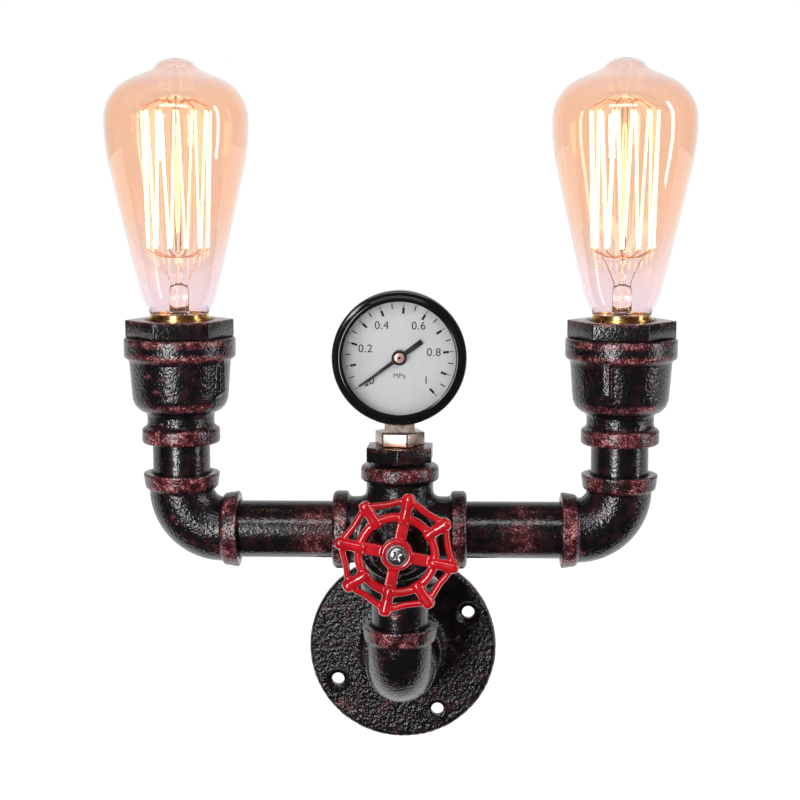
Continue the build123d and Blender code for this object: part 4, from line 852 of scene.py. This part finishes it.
def printed(words, x, y, height):
    """Plain lettering on the dial, centred on a point, in millimetres."""
    bpy.ops.object.select_all(action="DESELECT")
    bpy.ops.object.text_add(location=(0, 0, 0))
    text = bpy.context.object
    text.data.body = words
    text.data.align_x = "CENTER"
    text.data.align_y = "CENTER"
    text.data.size = height * LETTER_SIZE * MM
    text.data.space_character = 1.05
    text.data.extrude = INK_DEPTH / 2 * MM
    text.data.resolution_u = 6
    bpy.ops.object.convert(target="MESH")
    return put(text, (x, y, DIAL_FACE))


marks = []
for tenth in range(11):
    angle = DIAL_START + DIAL_SWEEP / 10 * tenth
    marks += [tick(19.6, 22.2, 1.05, angle), tick(22.2, 24.3, 0.3, angle)]
    if tenth < 10:
        marks.append(tick(21.8, 24.2, 0.5, angle + DIAL_SWEEP / 20))
marks += [printed(words, *clock(radius, angle), 3.7) for words, radius, angle in NUMBERS]
marks.append(printed("MPa", 0, -8.4, 2.3))
scale = joined(*marks)
scale.name = "dial_printing"
put(scale, GAUGE_PLACE, FACE_TO_ROOM)
ink = mottled("dial_ink", (0.005, 0.005, 0.006), 0.6, SpecularIORLevel=0.1)
fitted(scale, "frame", "pointer", ink)


# Pointer: a thin black blade, stamped from aluminium, slender ahead and broad behind its boss. It is
# pressed on the movement's pinion and rests at zero, and a copper ring is let into the boss.

BOSS_RINGS = [
    (AXIS, 11.4), (3.2, 11.4), (3.4, 11.7), (3.4, 12.6), (3.1, 13.0), (2.2, 13.0), (2.2, 12.7), (AXIS, 12.7)]
COPPER_RING = [(0.7, 12.7), (2.2, 12.7), (2.1, 13.0), (1.6, 13.15), (0.8, 13.15), (0.7, 12.7)]
BLADE_SIZE = (1.7, 33, 0.6)  # before its width is tapered

needle = turned("needle_boss", BOSS_RINGS, 48)
blade = block("blade", BLADE_SIZE, (0, 4, 12))
for ahead, width in ((True, 0.6), (False, 1.45)):
    choose(blade, lambda point: (point.y > 0) == ahead)
    bpy.ops.transform.resize(value=(width, 1, 1), center_override=(0, 0, 0))
    bpy.ops.object.mode_set(mode="OBJECT")
modified(blade, "BEVEL", width=0.12 * MM, segments=2)
needle = joined(needle, blade)
needle.name = "gauge_needle"
put(needle, turn=(0, 0, -DIAL_START))
put(needle, GAUGE_PLACE, FACE_TO_ROOM)
pointer_black = mottled("pointer_black", (0.007, 0.007, 0.008), 0.4, SpecularIORLevel=0.2)
fitted(needle, "pointer_body", "pointer", pointer_black, "gauge_pointer")
boss_disc = put(turned("boss_disc", COPPER_RING, 32), GAUGE_PLACE, FACE_TO_ROOM)
copper_ring = mottled("copper", (0.52, 0.30, 0.25), 0.3, metallic=1.0, size=1.0)
fitted(boss_disc, "pointer_body", "brass", copper_ring)
worn(pointer_black, "stop_pin")


# Setting: the light hangs before a white studio, on a wall that isn't shown. A paper floor lies far below
# and behind it. A tall soft box on the left is the main light, with weaker ones at the right and above.

FLOOR_SIZE = 8
FLOOR_PLACE = (0, FLOOR_SIZE / 2, -0.30)  # it starts at the wall's plane
PAPER_GLOW = 0.62
SKY_FILL = 0.5  # the sky's share as a light
DARK_ROOM = 0.02  # what the paint mirrors of the sky in front
AIM = Vector((0, -0.06, 0.15))

bpy.ops.object.select_all(action="DESELECT")
bpy.ops.mesh.primitive_plane_add(size=FLOOR_SIZE, location=FLOOR_PLACE)
floor = bpy.context.object
floor.name = "studio_floor"
paper = new_finish("studio_paper")
seen = paper.node_tree.nodes.new("ShaderNodeLightPath")
shown = either(paper, either(paper, seen.outputs["Is Camera Ray"], seen.outputs["Is Glossy Ray"]),
               seen.outputs["Is Transmission Ray"])
tone = eased(paper, noise(paper, 40), 0.3, 0.7, 0.89, 0.91)
coated(paper, BaseColor=pattern(paper, "CombineColor", {0: tone, 1: tone, 2: tone}), Roughness=0.9,
       SpecularIORLevel=0.0, EmissionColor=(1, 1, 1, 1), EmissionStrength=times(paper, shown, PAPER_GLOW))
floor.data.materials.append(paper)

sky = bpy.data.worlds.new("studio")
bpy.context.scene.world = sky
sky.use_nodes = True
seen = sky.node_tree.nodes.new("ShaderNodeLightPath")
to_wall = part_of(sky, coordinate(sky, "Generated"), Y)
mirrored = times(sky, seen.outputs["Is Glossy Ray"], eased(sky, to_wall, 0.35, 1.0, DARK_ROOM, 1.0))
shown = either(sky, seen.outputs["Is Camera Ray"], seen.outputs["Is Transmission Ray"])
light = either(sky, either(sky, mirrored, shown), times(sky, seen.outputs["Is Diffuse Ray"], SKY_FILL))
wired(sky, sky.node_tree.nodes["Background"], {"Color": (1, 1, 1, 1), "Strength": light})


def soft_lamp(name, place, width, height, power):
    """A soft box turned to the light, its place and size in metres and its power in watts."""
    turn = (AIM - Vector(place)).to_track_quat("-Z", "Y").to_euler()
    bpy.ops.object.light_add(type="AREA", location=place, rotation=turn)
    lamp = bpy.context.object
    lamp.name = name
    lamp.data.shape = "RECTANGLE"
    lamp.data.size = width
    lamp.data.size_y = height
    lamp.data.energy = power


soft_lamp("key_box", (-0.38, -1.05, 0.18), width=0.20, height=0.62, power=8.0)
soft_lamp("side_box", (0.95, -0.30, 0.35), width=0.10, height=0.9, power=3.5)
soft_lamp("top_box", (-0.05, -0.95, 0.85), width=0.8, height=0.14, power=3.0)

CAMERA_PLACE = (0.020, -0.863, 0.236)
LOOK_DOWN, LOOK_LEFT = 7.5, 1.43  # degrees
bpy.ops.object.camera_add(location=CAMERA_PLACE,
                          rotation=(math.radians(90 - LOOK_DOWN), 0, math.radians(LOOK_LEFT)))
camera = bpy.context.object
camera.name = "camera"
camera.data.lens = 80.2
camera.data.sensor_width = 36
bpy.context.scene.camera = camera
bpy.context.scene.view_settings.view_transform = "Standard"
